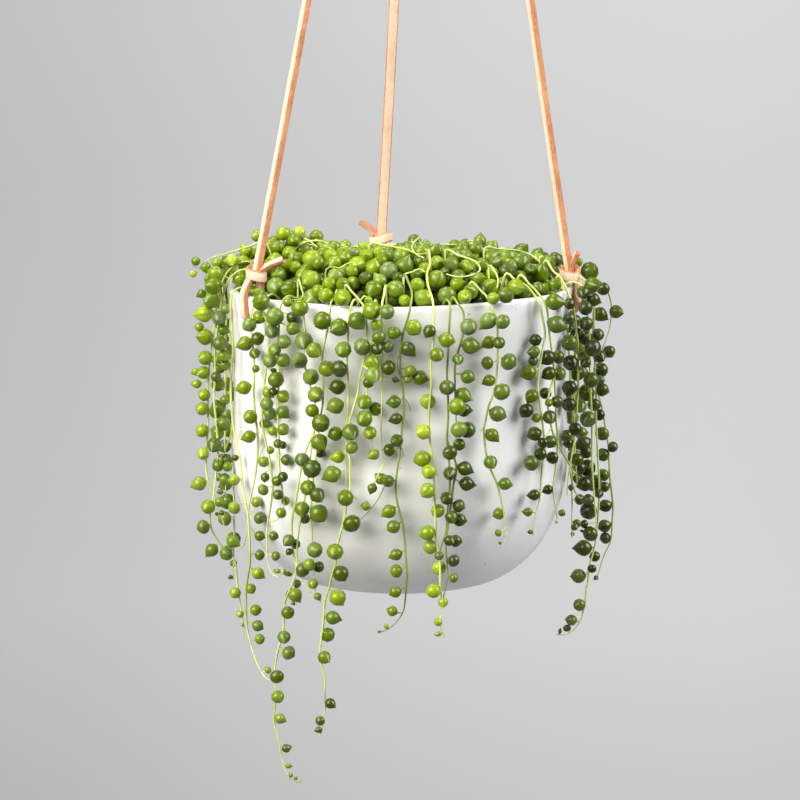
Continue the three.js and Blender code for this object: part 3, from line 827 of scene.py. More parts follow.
@dataclass
class Laces:
    """The three leather laces with their hitches, and the knot and loop that gather them."""

    datum: Datum
    finishes: Finishes
    corner: float = 0.45
    wobble: float = 0.35  # how far a strap wanders from its straight line, mm
    leg_share: float = 0.2  # how much of the turn through the wall keeps its leg's twist
    band_side: float = 5.0  # the hitch's half width across the strap, mm
    band_out: float = 4.1  # its half depth, mm
    core_ring: float = 2.7  # how far each lace stands from the gathering knot's axis, mm

    def strap(
        self, name: str, line: Array, width: float = LACE_WIDTH, thick: float = LACE_THICK,
        **settings: object,
    ) -> Piece:
        """A length of thong, with its flat sides in grain and its narrow sides in cut edge.

        Args:
            name: the piece's name.
            line: its middle line, mm.
            width: across the flat side, mm.
            thick: across the narrow side, mm.
            settings: what else curve_piece is told.
        """
        section = strap_section(width, thick, self.corner)
        piece = curve_piece(name, [line], self.datum, section=section, **settings)
        bpy.data.objects.remove(section)
        self.mark_cut_sides(piece, width, thick)
        smooth(piece, 50)
        return piece

    def mark_cut_sides(self, piece: Piece, width: float, thick: float) -> None:
        """Gives the strap's narrow sides the cut edge's finish, by the shape of their faces.

        A ring of the section has the flats as its longest edges, so a side face is one whose edge
        across the strap is about as long as the strap is thick, and a corner or an end goes with it.
        """
        piece.data.materials.append(self.finishes.grain)
        piece.data.materials.append(self.finishes.cut)
        flat = (max(width, thick) - 2 * self.corner) * MM
        spots = [vertex.co for vertex in piece.data.vertices]
        for face in piece.data.polygons:
            corners = [spots[i] for i in face.vertices]
            edges = [(a - b).length for a, b in zip(corners, corners[1:] + corners[:1])]
            is_flat = len(edges) == 4 and any(abs(e - flat) < 0.12 * flat for e in edges)
            face.material_index = 0 if is_flat else 1

    def riser(self, lace: Lace) -> Piece:
        """The straight length from a hitch up to the gathering knot, with the waver of real leather."""
        line = spaced(np.array([lace.knot(), lace.top()]), 12)
        rng = np.random.default_rng(abs(int(lace.azimuth)))
        phase = rng.uniform(0, 2 * math.pi, 2)
        run = np.linspace(0, 1, len(line))
        fade = np.sin(math.pi * run)
        line[:, 0] += self.wobble * fade * np.sin(9 * run + phase[0])
        line[:, 1] += self.wobble * fade * np.sin(7 * run + phase[1])
        return self.strap(f"riser_{lace.name}", line, tilt=lace.turn)

    def bight(self, lace: Lace) -> Piece:
        """The turn through the wall."""
        line = spaced(catmull_rom(lace.bight()), 1.2)
        eased = np.clip((np.linspace(0, 1, len(line)) - self.leg_share) / (0.5 * self.leg_share), 0, 1)
        tilt = lace.leg_twist * (1 - eased)
        return self.strap(f"bight_{lace.name}", line, thick=TAIL_THICK, tilt=tilt)

    def band(self, lace: Lace) -> Piece:
        """The flat turn that the lace takes round itself above the rim."""
        tangent = around(lace.azimuth + 90, 1, 0)
        radial = around(lace.azimuth, 1, 0)
        lean = unit(lace.top() - lace.knot())
        slope = math.tan(math.radians(lace.slope))
        points = []
        for a in np.linspace(0, 2 * math.pi, 28, endpoint=False):
            side, out = self.band_side * math.cos(a), self.band_out * math.sin(a)
            rise = -slope * side + 0.5 * math.sin(2 * a)
            points.append(lace.knot() + side * tangent + out * radial + rise * lean)
        name = f"band_{lace.name}"
        return self.strap(name, np.array(points), width=1.9, thick=4.9, twist="Z_UP", closed=True)

    def tail(self, lace: Lace) -> Piece:
        """The short cut end that leaves the hitch."""
        start = lace.knot()
        end = start + np.array(lace.tail)
        bend = (start + end) / 2 + (0, 0, 0.8)
        line = spaced(catmull_rom([start, bend, end]), 1.5)
        return self.strap(f"tail_{lace.name}", line, width=TAIL_WIDTH, thick=TAIL_THICK, tilt=35)

    def gathering(self) -> list[Piece]:
        """The knot outside the view: three turns of thong round the laces' ends, and three cut ends."""
        apex = np.array(APEX)
        pitch = GATHER_HEIGHT / 4
        radius = GATHER_RADIUS - 1.5
        helix = []
        for a in np.linspace(0, 2 * math.pi * 3, 90):
            rise = pitch / 2 + pitch * a / (2 * math.pi)
            helix.append(apex + (radius * math.cos(a), radius * math.sin(a), rise))
        pieces = [self.strap("gathering_wrap", np.array(helix), width=2.6, thick=5.4, twist="Z_UP")]
        for i, azimuth in enumerate((-60, 60, 180)):
            ends = [apex + around(azimuth, self.core_ring, z) for z in (0.2, GATHER_HEIGHT - 0.2)]
            pieces.append(self.strap(f"gathering_core_{i}", np.array(ends)))
        for i, azimuth in enumerate(GATHER_TAILS):
            route = (
                apex + around(azimuth, GATHER_RADIUS * 0.6, pitch),
                apex + around(azimuth, GATHER_RADIUS, 0),
                apex + around(azimuth + 4, GATHER_RADIUS * 1.45, -GATHER_TAIL_DROP),
            )
            line = spaced(catmull_rom(route), 2)
            pieces.append(self.strap(f"gathering_tail_{i}", line, width=TAIL_WIDTH, thick=TAIL_THICK))
        return pieces

    def loop(self) -> Piece:
        """The loop that hangs on the hook."""
        w, h = LOOP_WIDTH / 2, LOOP_HEIGHT
        half = ((0.26, 0), (0.3, 0.06), (0.85, 0.4), (1, 0.66), (0.62, 0.93))
        route = [(-x * w, 0, z * h) for x, z in half]
        route += [(0, 0, h), *((x * w, 0, z * h) for x, z in reversed(half))]
        line = spaced(catmull_rom(route), 1.5) + np.array(APEX) + (0, 0, GATHER_HEIGHT + GAP)
        return self.strap("loop_strap", line)

    def made(self) -> list[Piece]:
        """Builds every piece of leather."""
        pieces = []
        for lace in LACES:
            for part in (self.riser(lace), self.bight(lace), self.band(lace), self.tail(lace)):
                pieces.append(dress(part, "leather", [], f"lace_{lace.name}"))
        for part in self.gathering():
            pieces.append(dress(part, "leather", [], "gathering_knot"))
        pieces.append(dress(self.loop(), "leather", [], "hanging_loop"))
        return pieces


# ---- Leaves ----

LEAF_MAP = "LeafMap"
MOST_BALLS = 40000


class LeafForm(Enum):
    """The forms that a leaf takes, as (height, radius) of its rings over the leaf's radius."""

    ROUND = ((0.0, 0.0), (0.06, 0.16), (0.2, 0.44), (0.5, 0.8), (0.9, 0.99), (1.34, 0.95), (1.72, 0.7),
             (1.98, 0.36), (2.1, 0.15), (2.26, 0.0))
    DROP = ((0.0, 0.0), (0.08, 0.2), (0.26, 0.5), (0.6, 0.84), (1.0, 0.98), (1.4, 0.88), (1.8, 0.6),
            (2.12, 0.28), (2.3, 0.1), (2.48, 0.0))
    SQUAT = ((0.0, 0.0), (0.05, 0.2), (0.16, 0.5), (0.42, 0.86), (0.8, 1.04), (1.2, 1.0), (1.54, 0.76),
             (1.76, 0.42), (1.86, 0.17), (1.98, 0.0))
    BUD = ((0.0, 0.0), (0.12, 0.16), (0.4, 0.42), (0.85, 0.72), (1.35, 0.82), (1.85, 0.7), (2.35, 0.44),
           (2.7, 0.2), (2.9, 0.08), (3.05, 0.0))

    @property
    def middle(self) -> float:
        """How far the leaf's middle is from its root, over its radius."""
        return self.value[-1][0] / 2


@dataclass(frozen=True)
class Leaf:
    """One leaf: where it grows from its stalk, which way it points, and how it looks."""

    root: Array
    direction: Array
    radius: float
    form: LeafForm
    spin: float
    tone: float
    bloom: float


@dataclass
class LeafMoulds:
    """The leaf forms, each modelled once from a sphere, and the meshes that are copied from them."""

    datum: Datum
    sides: int = 10
    moulds: dict[LeafForm, tuple[Array, list[list[int]], Array]] = field(default_factory=dict)

    def __post_init__(self) -> None:
        for form in LeafForm:
            self.moulds[form] = self.shaped(form)

    def shaped(self, form: LeafForm) -> tuple[Array, list[list[int]], Array]:
        """Shapes a sphere to a form, ring by ring, and returns its points, faces and UVs."""
        rings = len(form.value) - 1
        bpy.ops.mesh.primitive_uv_sphere_add(segments=self.sides, ring_count=rings, radius=1)
        piece = bpy.context.object
        levels = sorted({round(v.co.z, 4) for v in piece.data.vertices})
        found = [[v.index for v in piece.data.vertices if abs(v.co.z - z) < 1e-3] for z in levels]
        for ring, level, (height, radius) in zip(found, levels, form.value):
            across = math.sqrt(max(1e-9, 1 - level * level))
            share = radius / across if radius else 1
            self.move_ring(piece, ring, share, height - level)
        points = np.array([v.co for v in piece.data.vertices])
        faces = [list(p.vertices) for p in piece.data.polygons]
        layer = piece.data.uv_layers[0].data
        uvs = np.array([layer[i].uv for p in piece.data.polygons for i in p.loop_indices])
        bpy.data.objects.remove(piece)
        return points, faces, uvs

    @staticmethod
    def move_ring(piece: Piece, ring: list[int], share: float, lift: float) -> None:
        """Widens and lifts one ring of the sphere."""
        with edit_mode(piece, "vertices", ring):
            bpy.ops.transform.resize(value=(share, share, 1), center_override=(0, 0, 0))
            bpy.ops.transform.translate(value=(0, 0, lift))

    def copied(self, name: str, leaves: Sequence[Leaf]) -> Piece:
        """One mesh that holds a copy of the right mould for each leaf."""
        points, faces, uvs, tones, blooms = [], [], [], [], []
        start = 0
        for leaf in leaves:
            mould, mould_faces, mould_uvs = self.moulds[leaf.form]
            turn = Vector(leaf.direction).to_track_quat("Z", "Y").to_matrix()
            turn = np.array(turn @ Matrix.Rotation(leaf.spin, 3, "Z"))
            points.append(mould @ turn.T * leaf.radius + leaf.root)
            faces += [[i + start for i in face] for face in mould_faces]
            uvs.append(mould_uvs)
            tones += [leaf.tone] * len(mould)
            blooms += [leaf.bloom] * len(mould)
            start += len(mould)
        mesh = bpy.data.meshes.new(name)
        mesh.from_pydata(self.datum.metres(np.vstack(points)), [], faces)
        mesh.uv_layers.new(name=LEAF_MAP).data.foreach_set("uv", np.vstack(uvs).ravel())
        for key, values in (("tone", tones), ("bloom", blooms)):
            mesh.attributes.new(key, "FLOAT", "POINT").data.foreach_set("value", values)
        mesh.shade_smooth()
        return linked(name, mesh)


@dataclass
class Room:
    """What is taken up so far, as balls, so that no two leaves share a place."""

    balls: Array = field(default_factory=lambda: np.zeros((MOST_BALLS, 5)))  # x, y, z, radius, owner
    count: int = 0

    def take(self, centre: Array, radius: float, owner: int = 0) -> None:
        """Marks a ball as taken. A leaf may touch the stem of its own strand, its owner."""
        self.balls[self.count] = (*centre, radius, owner)
        self.count += 1

    def is_free(self, centre: Array, radius: float, owner: int = 0, squeeze: float = 0.0) -> bool:
        """Whether a ball would stay clear of all that is taken.

        Args:
            centre: the ball's middle, mm.
            radius: its radius, mm.
            owner: the strand whose own stem it may touch, or 0.
            squeeze: how far it may press into what is taken, mm.
        """
        taken = self.balls[: self.count]
        away = np.linalg.norm(taken[:, :3] - centre, axis=1)
        near = away < taken[:, 3] + radius + CLEAR - squeeze
        if owner:
            near &= taken[:, 4] != owner
        return not near.any()


def clear_of_pot(centre: Array, radius: float) -> bool:
    """Whether a ball stays off the pot's wall, its lip and the soil."""
    x, y, z = centre
    r = math.hypot(x, y)
    if z > 0:
        beside = max(0.0, r - POT_RADIUS, POT_RADIUS - POT_WALL - r)
        return math.hypot(beside, z - RIM_WAVE) > radius + CLEAR or beside > radius + CLEAR
    if -z > POT_DEPTH + radius:
        return True
    if r > outside_radius(-z) - POT_WALL / 2:
        return r - radius > outside_radius(-z) + OVAL + CLEAR
    return r + radius < outside_radius(-z) - POT_WALL - OVAL and z - radius > 1 - SOIL_DEPTH


# ---- Places read off the picture ----


@dataclass(frozen=True)
class Sight:
    """The camera's view, and where a place in the picture lies in the room.

    A picture place is (x, y), from the left and from the top of a picture 800 wide and high.
    """

    distance: float = 1500.0  # from the rim's middle, mm
    elevation: float = 6.6  # degrees
    rim_height: float = 285.5  # the picture place of the rim's middle, from the top
    picture: float = 800.0
    lens: float = 135.0
    sensor: float = 36.0

    @property
    def focal(self) -> float:
        """The lens in picture units."""
        return self.lens / self.sensor * self.picture

    @property
    def eye(self) -> Array:
        """Where the camera stands."""
        a = math.radians(self.elevation)
        return self.distance * np.array((0, -math.cos(a), math.sin(a)))

    @property
    def pitch(self) -> float:
        """How far the camera looks down, in radians."""
        return math.radians(self.elevation) + math.atan((self.picture / 2 - self.rim_height) / self.focal)

    def ray(self, x: float, y: float) -> Array:
        """The direction from the camera through a picture place."""
        across = (x - self.picture / 2) / self.focal
        up = (self.picture / 2 - y) / self.focal
        c, s = math.cos(self.pitch), math.sin(self.pitch)
        return unit(np.array((across, c + up * s, up * c - s)))

    def on_cylinder(self, x: float, y: float, radius: float) -> Array:
        """The near point at a radius from the pot's axis, or the nearest to it on the line of sight."""
        way, eye = self.ray(x, y), self.eye
        a = way[0] ** 2 + way[1] ** 2
        b = eye[0] * way[0] + eye[1] * way[1]
        c = eye[0] ** 2 + eye[1] ** 2 - radius**2
        reach = (-b - math.sqrt(max(0.0, b * b - a * c))) / a
        return eye + way * reach

    def on_plane(self, x: float, y: float, back: float) -> Array:
        """The point at a distance behind the pot's axis, or before it if negative."""
        way, eye = self.ray(x, y), self.eye
        return eye + way * (back - eye[1]) / way[1]

    def on_heap(self, x: float, y: float, lift: float) -> Array:
        """The point where the line of sight meets the heap, or comes nearest to it."""
        reaches = np.arange(self.distance - 110, self.distance + 60, 1.0)
        points = self.eye + self.ray(x, y) * reaches[:, None]
        radii = np.hypot(points[:, 0], points[:, 1])
        above = points[:, 2] - (heap_dome(radii) + lift)
        under = np.nonzero(above <= 0)[0]
        return points[under[0]] if len(under) else points[int(np.argmin(above))]

    def ceiling(self, x: float, y: float) -> float:
        """How high something at x and y can stand and stay under the heap's outline in the picture."""
        c, s = math.cos(self.pitch), math.sin(self.pitch)
        eye = self.eye
        across = self.picture / 2 + self.focal * (x - eye[0]) / (c * (y - eye[1]) + s * eye[2])
        line = np.interp(across, *zip(*SKYLINE))
        slope = (self.picture / 2 - line) / self.focal
        return float(eye[2] + (y - eye[1]) * (slope * c - s) / (c + slope * s))


SKYLINE = (  # the heap's upper outline in the picture, between the leaves that stand out of it
    (190, 274), (214, 258), (244, 246), (262, 246), (274, 237), (286, 230), (304, 230), (316, 234),
    (324, 241), (350, 246), (366, 243), (394, 244), (412, 240), (430, 244), (448, 243), (466, 240),
    (476, 236), (488, 242), (502, 248), (530, 253), (556, 255), (580, 262), (598, 272), (615, 300),
)
SIGHT = Sight()
HEAP_TOP = 20.0  # how high the leaves' middles lie over the rim
HEAP_EDGE = 84.0  # the radius at which the heap is down at the rim's height
SWELL = 1.08  # the leaves over the radii read off the picture, which shows their edges dark
MOUND_SPREAD = 9.0  # how far round a leaf the heap is raised to it, mm
SPRIG_HEIGHT = 8.0  # a stem that starts higher than this over the rim starts in the heap
BRANCH_REACH = 5.0  # a branch that starts this near its main stem grows from it


def heap_dome(radius: Array | float) -> Array | float:
    """How high the heap's top layer lies over the rim: nearly flat, and steep at its edge."""
    return HEAP_TOP * (1 - (np.minimum(radius, 96) / HEAP_EDGE) ** 4)


# ---- Strands ----


class Look(Enum):
    """What sets one leaf apart from those round it."""

    NEW = "yellow-green and light"
    # darker green: partly painted shade where a leaf lies in shade, partly older leaves
    OLD = "dark green"
    DUSTY = "with a pale bloom"
    BEHIND = "between its stem and the pot"


NEW, OLD, DUSTY, BEHIND = Look.NEW, Look.OLD, Look.DUSTY, Look.BEHIND
Spot = Pair  # (x, y), in the picture
LeafSpot = tuple[float | Look, ...]  # (x, y, radius, *looks)


@dataclass(frozen=True)
class Strand:
    """One strand of the front or a side, drawn by picture places from its top to its tip.

    It hangs at `out` from the rim, or beside the pot at `side` behind the axis.
    """

    name: str
    stem: tuple[Spot, ...]
    leaves: tuple[LeafSpot, ...]
    branches: tuple[tuple[Spot, ...], ...] = ()
    over: tuple[Spot, ...] = ()  # where it lies on the heap before it reaches the rim
    out: float = 4.2
    side: float | None = None
    # lightness is added to the leaves' tone: partly each strand's own green, partly painted light and
    # shade, darker on the strands at the pot's right side that lie out of the window light
    lightness: float = 0.0

    def placed(self, spots: Sequence[Spot]) -> Array:
        """The points of a stem."""
        if self.side is None:
            return np.array([SIGHT.on_cylinder(x, y, POT_RADIUS + self.out) for x, y in spots])
        return np.array([SIGHT.on_plane(x, y, self.side) for x, y in spots])

    def rooted(self, hanging: Array, index: int) -> Array:
        """A stem with its start: up out of the soil, and over the heap or the rim.

        Args:
            hanging: its points from the rim down, mm.
            index: its number, which says in which ring it is rooted.
        """
        first = hanging[0]
        if self.over:
            above = np.array([SIGHT.on_heap(x, y, 4.2) for x, y in self.over])
        elif first[2] > SPRIG_HEIGHT:
            above = np.array([first * (0.94, 0.94, 0) + (0, 0, first[2] - 8)])
        else:
            azimuth = math.degrees(math.atan2(first[0], -first[1]))
            root = ROOT_RINGS[index % len(ROOT_RINGS)]
            above = np.array([around(azimuth, root + 4, -3), around(azimuth, POT_RADIUS - 2.4, 2.5)])
        start = above[0] * (0.93, 0.93, 0)
        under = np.array([start + (0, 0, -SOIL_DEPTH - ROOT_DEPTH + GAP), start + (0, 0, -9)])
        return catmull_rom(np.vstack([under, above, hanging]), 12)

    def lines(self, index: int) -> list[Array]:
        """The main stem, and the branches: each from the main stem if that is near."""
        main = self.rooted(self.placed(self.stem), index)
        found = [main]
        for spots in self.branches:
            branch = self.placed(spots)
            away = np.linalg.norm(main - branch[0], axis=1)
            if away.min() < BRANCH_REACH:
                joint = main[int(np.argmin(away))]
                found.append(catmull_rom(np.vstack([joint, branch[1:]]), 12))
            else:
                found.append(replace(self, over=()).rooted(branch, index + 1))
        return found


FRONT_STRANDS = (
    Strand("far_left", side=-3, lightness=0.2, stem=(
        (250, 262), (234, 266), (224, 278), (219, 295), (215, 320), (212, 345), (209, 370), (208, 395),
        (208, 425), (206, 455), (207, 475), (211, 490), (213, 500), (210, 515), (212, 530), (221, 545),
        (229, 551), (235, 562), (237, 580), (239, 595), (241, 608), (243, 620), (244, 628), (243, 637),
    ), branches=(
        ((264, 242), (250, 246), (238, 250), (224, 254), (211, 258), (204, 263), (199, 269), (194, 277)),
        ((200, 268), (195, 268), (192, 263)),
    ), leaves=(
        (196, 261, 4.5), (193, 274, 3.3), (206, 268, 5), (217, 263, 5), (232, 261, 6, NEW),
        (223, 271, 7), (211, 300, 8.5, NEW), (203, 314, 8.5, NEW), (199, 327, 4.5), (204, 337, 8),
        (205, 358, 7), (203, 373, 6.5, NEW), (195, 372, 4), (196, 384, 4.5), (204, 395, 6, NEW),
        (202, 409, 6.5, NEW), (202, 431, 6.5, NEW), (203, 454, 6, NEW), (198, 484, 7),
        (208, 507, 7), (203, 527, 6.5, OLD), (211, 551, 6.5), (235, 593, 5.5, NEW),
        (240, 614, 3.5, NEW), (242, 625, 1.8),
    )),
    Strand("left_short", side=-16, stem=(
        (246, 270), (234, 274), (227, 284), (222, 300), (218, 325), (215, 350), (215, 375), (214, 400),
        (217, 430), (218, 455), (216, 475), (214, 495), (218, 510), (223, 522), (228, 538), (231, 548),
    ), leaves=(
        (215, 273, 7), (213, 286, 8.5, NEW), (201, 294, 4.5), (208, 279, 4), (219, 318, 7, DUSTY),
        (226, 309, 5, DUSTY), (224, 330, 5.5), (220, 344, 7), (225, 356, 6), (226, 365, 5.5),
        (216, 377, 5, OLD), (219, 385, 7), (226, 400, 5, OLD), (219, 407, 7.5), (224, 424, 7),
        (218, 434, 6.5), (214, 446, 7.5, OLD), (227, 460, 5.5, OLD), (218, 466, 5.5), (228, 467, 5),
        (225, 479, 5.5), (220, 502, 5), (217, 514, 2.5, OLD), (222, 513, 2.8, OLD), (234, 542, 6.5),
        (226, 554, 6.5),
    )),
    Strand("left_bare", out=2.6, lightness=0.08, stem=(
        (231, 300), (232, 330), (233, 350), (231, 380), (231, 400), (233, 425), (236, 440), (240, 458),
        (242, 480), (245, 500), (248, 515), (249, 530), (250, 560), (248, 575), (246, 590), (246, 610),
        (247, 628), (251, 645), (255, 658), (260, 670), (267, 679), (273, 680),
    ), branches=(
        ((251, 316), (253, 345), (254, 372), (254, 400), (256, 420), (258, 440), (257, 462), (255, 478),
         (252, 492), (249, 508), (248, 520)),
        ((247, 516), (246, 536), (243, 546), (236, 551)),
        ((231, 430), (227, 445), (223, 457), (218, 470)),
    ), leaves=(
        (235, 458, 3.2, OLD), (234, 480, 5.5), (234, 508, 6, NEW), (244, 344, 7.5),
        (255, 354, 5.5, OLD), (256, 369, 3.8), (243, 388, 7, NEW), (250, 417, 7),
        (248, 437, 6.5, NEW), (257, 502, 5.3, DUSTY), (260, 518, 5.8), (260, 536, 5, OLD),
        (260, 555, 5, OLD), (259, 574, 6), (251, 589, 5), (256, 610, 5.5), (258, 626, 5.5), (260, 639, 5),
        (268, 670, 3.5), (272, 676, 2.5),
    )),
    Strand("left_wavy", out=4, stem=(
        (262, 306), (268, 325), (269, 345), (266, 370), (263, 395), (262, 415), (263, 430), (266, 444),
        (269, 455), (271, 470), (273, 485), (272, 497), (270, 510), (268, 522), (267, 535), (267, 556),
        (269, 567), (273, 575), (279, 576), (282, 572),
    ), branches=(
        ((265, 443), (261, 453), (258, 463)),
        ((271, 470), (267, 471), (264, 474)),
    ), leaves=(
        (261, 302, 8.5), (259, 318, 7), (249, 325, 7, DUSTY), (257, 339, 6.5, OLD), (275, 317, 9, DUSTY),
        (272, 332, 8, DUSTY), (275, 350, 6, DUSTY), (270, 361, 7.5, DUSTY), (274, 371, 3, OLD),
        (276, 380, 7.5), (269, 393, 6, DUSTY), (273, 392, 4.5, OLD), (267, 404, 6.5, DUSTY),
        (271, 414, 6.5, DUSTY), (265, 424, 5.5, DUSTY), (273, 431, 4.8), (271, 450, 4),
        (264, 462, 5.5, DUSTY), (265, 478, 4.6, OLD), (277, 481, 5), (263, 490, 5.5, DUSTY),
        (274, 536, 4.7), (276, 556, 4.5), (277, 571, 3),
    )),
    Strand("left_thin", out=4.2, stem=(
        (280, 308), (279, 330), (278, 350), (279, 375), (278, 400), (278, 425), (279, 445), (279, 462),
        (281, 480), (283, 495), (284, 505), (281, 515), (275, 521), (269, 521),
    ), leaves=(
        (288, 302, 5), (293, 318, 6, OLD), (294, 329, 6.5), (285, 342, 7, DUSTY), (284, 361, 7),
        (284, 397, 6.5), (284, 413, 6.5), (284, 430, 6.2), (278, 444, 4.5), (283, 445, 4, OLD),
        (287, 460, 5.5), (283, 477, 5, OLD), (278, 495, 5, OLD), (286, 501, 4.5), (281, 513, 5, NEW),
    )),
    Strand("longest", out=4.6, stem=(
        (304, 310), (305, 335), (304, 360), (310, 385), (316, 410), (314, 432), (311, 450), (309, 470),
        (306, 490), (303, 507), (300, 522), (298, 536), (297, 550), (297, 564), (295, 576), (291, 587),
        (286, 598), (284, 608), (284, 620), (283, 632), (280, 643), (277, 655), (275, 668), (275, 682),
        (276, 692), (275, 706), (274, 721), (277, 735), (280, 748), (282, 760), (285, 770), (289, 777),
        (294, 781), (299, 782), (302, 780),
    ), branches=(
        ((314, 432), (308, 445), (303, 460), (299, 480), (296, 500), (292, 520), (292, 540), (294, 556),
         (298, 572), (304, 584), (312, 595), (321, 602)),
    ), leaves=(
        (300, 308, 8), (304, 342, 9, DUSTY), (299, 361, 8, DUSTY), (315, 351, 9, NEW),
        (311, 377, 8, DUSTY), (316, 395, 8), (312, 411, 6.5), (321, 423, 9), (320, 443, 8.5),
        (321, 453, 7, OLD), (302, 460, 7, DUSTY), (312, 469, 8.5, OLD), (308, 488, 7.5),
        (318, 496, 8.5, OLD), (302, 510, 7.5), (305, 519, 5, OLD), (288, 541, 6), (289, 552, 3.5, OLD),
        (296, 544, 5, OLD), (303, 570, 7, OLD), (296, 596, 6.8), (288, 613, 6.3), (284, 638, 6.5),
        (289, 653, 6.6), (277, 677, 6.5, OLD), (278, 697, 6.3), (281, 719, 5.2), (287, 748, 4.3, OLD),
        (289, 766, 2.8), (291, 775, 2.3), (296, 778, 1.8),
    )),
    Strand("cluster_left", out=4.4, stem=(
        (331, 303), (329, 322), (325, 340), (322, 360), (323, 380), (323, 400), (320, 420), (317, 445),
        (314, 470), (312, 495), (311, 515), (312, 535), (313, 555), (314, 572), (314, 583),
    ), leaves=(
        (322, 321, 9), (327, 369, 8), (319, 514, 9, OLD), (315, 550, 7.5), (309, 565, 6, NEW),
        (319, 567, 5.5, OLD), (313, 584, 5, NEW), (318, 597, 3.8),
    )),
    Strand("cluster_right", out=5, stem=(
        (352, 303), (349, 320), (348, 340), (347, 360), (348, 380), (348, 405), (347, 425), (346, 445),
        (346, 465), (346, 484),
    ), leaves=(
        (338, 328, 9), (358, 322, 9), (343, 350, 8), (339, 369, 8, OLD), (337, 387, 7.5, OLD),
        (335, 406, 8), (335, 434, 7), (337, 457, 6.5, NEW), (331, 475, 8.5, NEW),
    )),
    Strand("second_longest", out=4.8, over=((345, 286), (352, 292), (359, 300)), stem=(
        (365, 310), (367, 335), (364, 360), (360, 376), (358, 392), (353, 410), (348, 427), (347, 445),
        (350, 460), (350, 478), (350, 492), (346, 507), (344, 520), (340, 535), (337, 548), (336, 562),
        (332, 575), (329, 588), (325, 600), (324, 612), (323, 625), (321, 640), (320, 655), (322, 667),
        (325, 680), (325, 695), (325, 708), (323, 718), (323, 727), (321, 733), (317, 737),
    ), branches=(
        ((350, 490), (353, 496), (357, 499)),
    ), leaves=(
        (372, 311, 9), (362, 347, 8, DUSTY), (373, 363, 7.5), (373, 376, 8, DUSTY), (369, 383, 5.5, OLD),
        (351, 433, 8.5), (352, 448, 6), (345, 498, 8), (352, 524, 8.5), (335, 552, 8), (341, 574, 7.8),
        (338, 598, 8, NEW), (334, 618, 7), (328, 635, 7), (325, 658, 6.5), (331, 704, 5.3, OLD),
        (320, 721, 4.5, OLD), (318, 730, 3.3, OLD),
    )),
    Strand("centre_left_short", out=4.2, stem=(
        (374, 306), (374, 330), (371, 350), (368, 372), (367, 395), (368, 415), (371, 435), (374, 450),
    ), leaves=(
        (376, 325, 5.5, NEW), (379, 338, 6.5), (377, 349, 6, OLD), (364, 403, 7.5), (364, 419, 8),
        (370, 433, 6.5, NEW),
    )),
    Strand("centre_left", out=4.2, over=((386, 286), (384, 295)), stem=(
        (382, 306), (382, 330), (382, 360), (382, 385), (382, 405), (381, 425), (382, 445), (384, 464),
    ), branches=(
        ((382, 318), (386, 330), (389, 338)),
    ), leaves=(
        (387, 312, 7, DUSTY), (388, 347, 7, DUSTY), (395, 333, 6.5), (389, 368, 7, OLD),
        (396, 380, 3.2, OLD), (375, 409, 6.5), (373, 455, 5.5, NEW), (372, 489, 5, NEW),
    )),
    Strand("centre", out=4, over=((404, 276), (409, 284), (412, 293)), stem=(
        (411, 303), (408, 318), (404, 330), (401, 345), (400, 360), (401, 378), (403, 390), (404, 405),
        (403, 420), (401, 437), (400, 450), (398, 465), (396, 480), (396, 495), (399, 510), (403, 525),
        (405, 545), (406, 560), (407, 575), (406, 590), (405, 602), (403, 612), (398, 620), (391, 627),
        (384, 631), (377, 633),
    ), branches=(
        ((394, 352), (397, 364), (401, 378)),
        ((404, 397), (408, 403), (411, 411)),
        ((401, 446), (403, 451), (404, 457)),
        ((396, 480), (391, 481), (386, 484), (382, 492), (377, 501), (370, 510), (361, 519)),
    ), leaves=(
        (414, 328, 8, NEW), (409, 350, 7.5, OLD), (411, 371, 5.5, NEW), (408, 380, 3.5, NEW),
        (421, 378, 7.5), (393, 402, 6.5), (395, 419, 6, OLD), (396, 441, 6.5, OLD), (389, 450, 6, OLD),
        (380, 478, 6), (388, 481, 6, OLD), (365, 506, 4.5, NEW), (388, 512, 6.8), (393, 527, 6.5),
        (395, 555, 6), (396, 571, 6.3), (395, 592, 5.8), (392, 611, 5), (386, 626, 2.5, NEW),
        (379, 632, 1.6, OLD),
    )),
    Strand("centre_right", out=6.4, lightness=0.12, over=(
        (428, 252), (430, 264), (427, 273), (428, 285),
    ), stem=(
        (433, 303), (434, 330), (433, 345), (431, 362), (431, 390), (429, 410), (429, 430), (431, 450),
        (433, 468), (434, 485), (435, 510), (436, 535), (438, 550), (440, 565), (440, 585), (442, 600),
        (441, 615), (441, 628), (445, 638),
    ), leaves=(
        (429, 332, 6.5, OLD), (447, 340, 7.5), (437, 355, 7, BEHIND), (428, 402, 7.8, NEW, BEHIND),
        (423, 432, 7.5, NEW), (422, 459, 8, NEW), (429, 472, 7.2, NEW, BEHIND),
        (427, 491, 7.5, NEW), (438, 511, 6.8, NEW, BEHIND), (427, 533, 7.4, NEW),
        (430, 547, 7, NEW), (439, 556, 4.5, OLD, BEHIND), (439, 568, 7, NEW, BEHIND),
        (433, 591, 7, NEW), (443, 603, 5, NEW), (438, 622, 4, NEW), (438, 634, 3),
    )),
    Strand("joined_right", out=5, lightness=-0.08, stem=(
        (450, 306), (449, 330), (448, 355), (447, 375), (448, 400), (448, 420), (447, 440), (449, 460),
        (450, 480), (449, 498), (447, 515), (446, 530), (443, 541), (440, 551),
    ), branches=(
        ((455, 440), (456, 465), (453, 487), (451, 503), (448, 525), (446, 545), (447, 562), (448, 577),
         (446, 587), (443, 598)),
    ), leaves=(
        (447, 388, 7.5, OLD), (450, 453, 7, OLD), (450, 474, 6.8, OLD), (446, 499, 6.5, OLD),
        (466, 469, 7.3, OLD), (468, 484, 7.3, OLD), (459, 506, 6.3, OLD), (452, 518, 6.5, OLD),
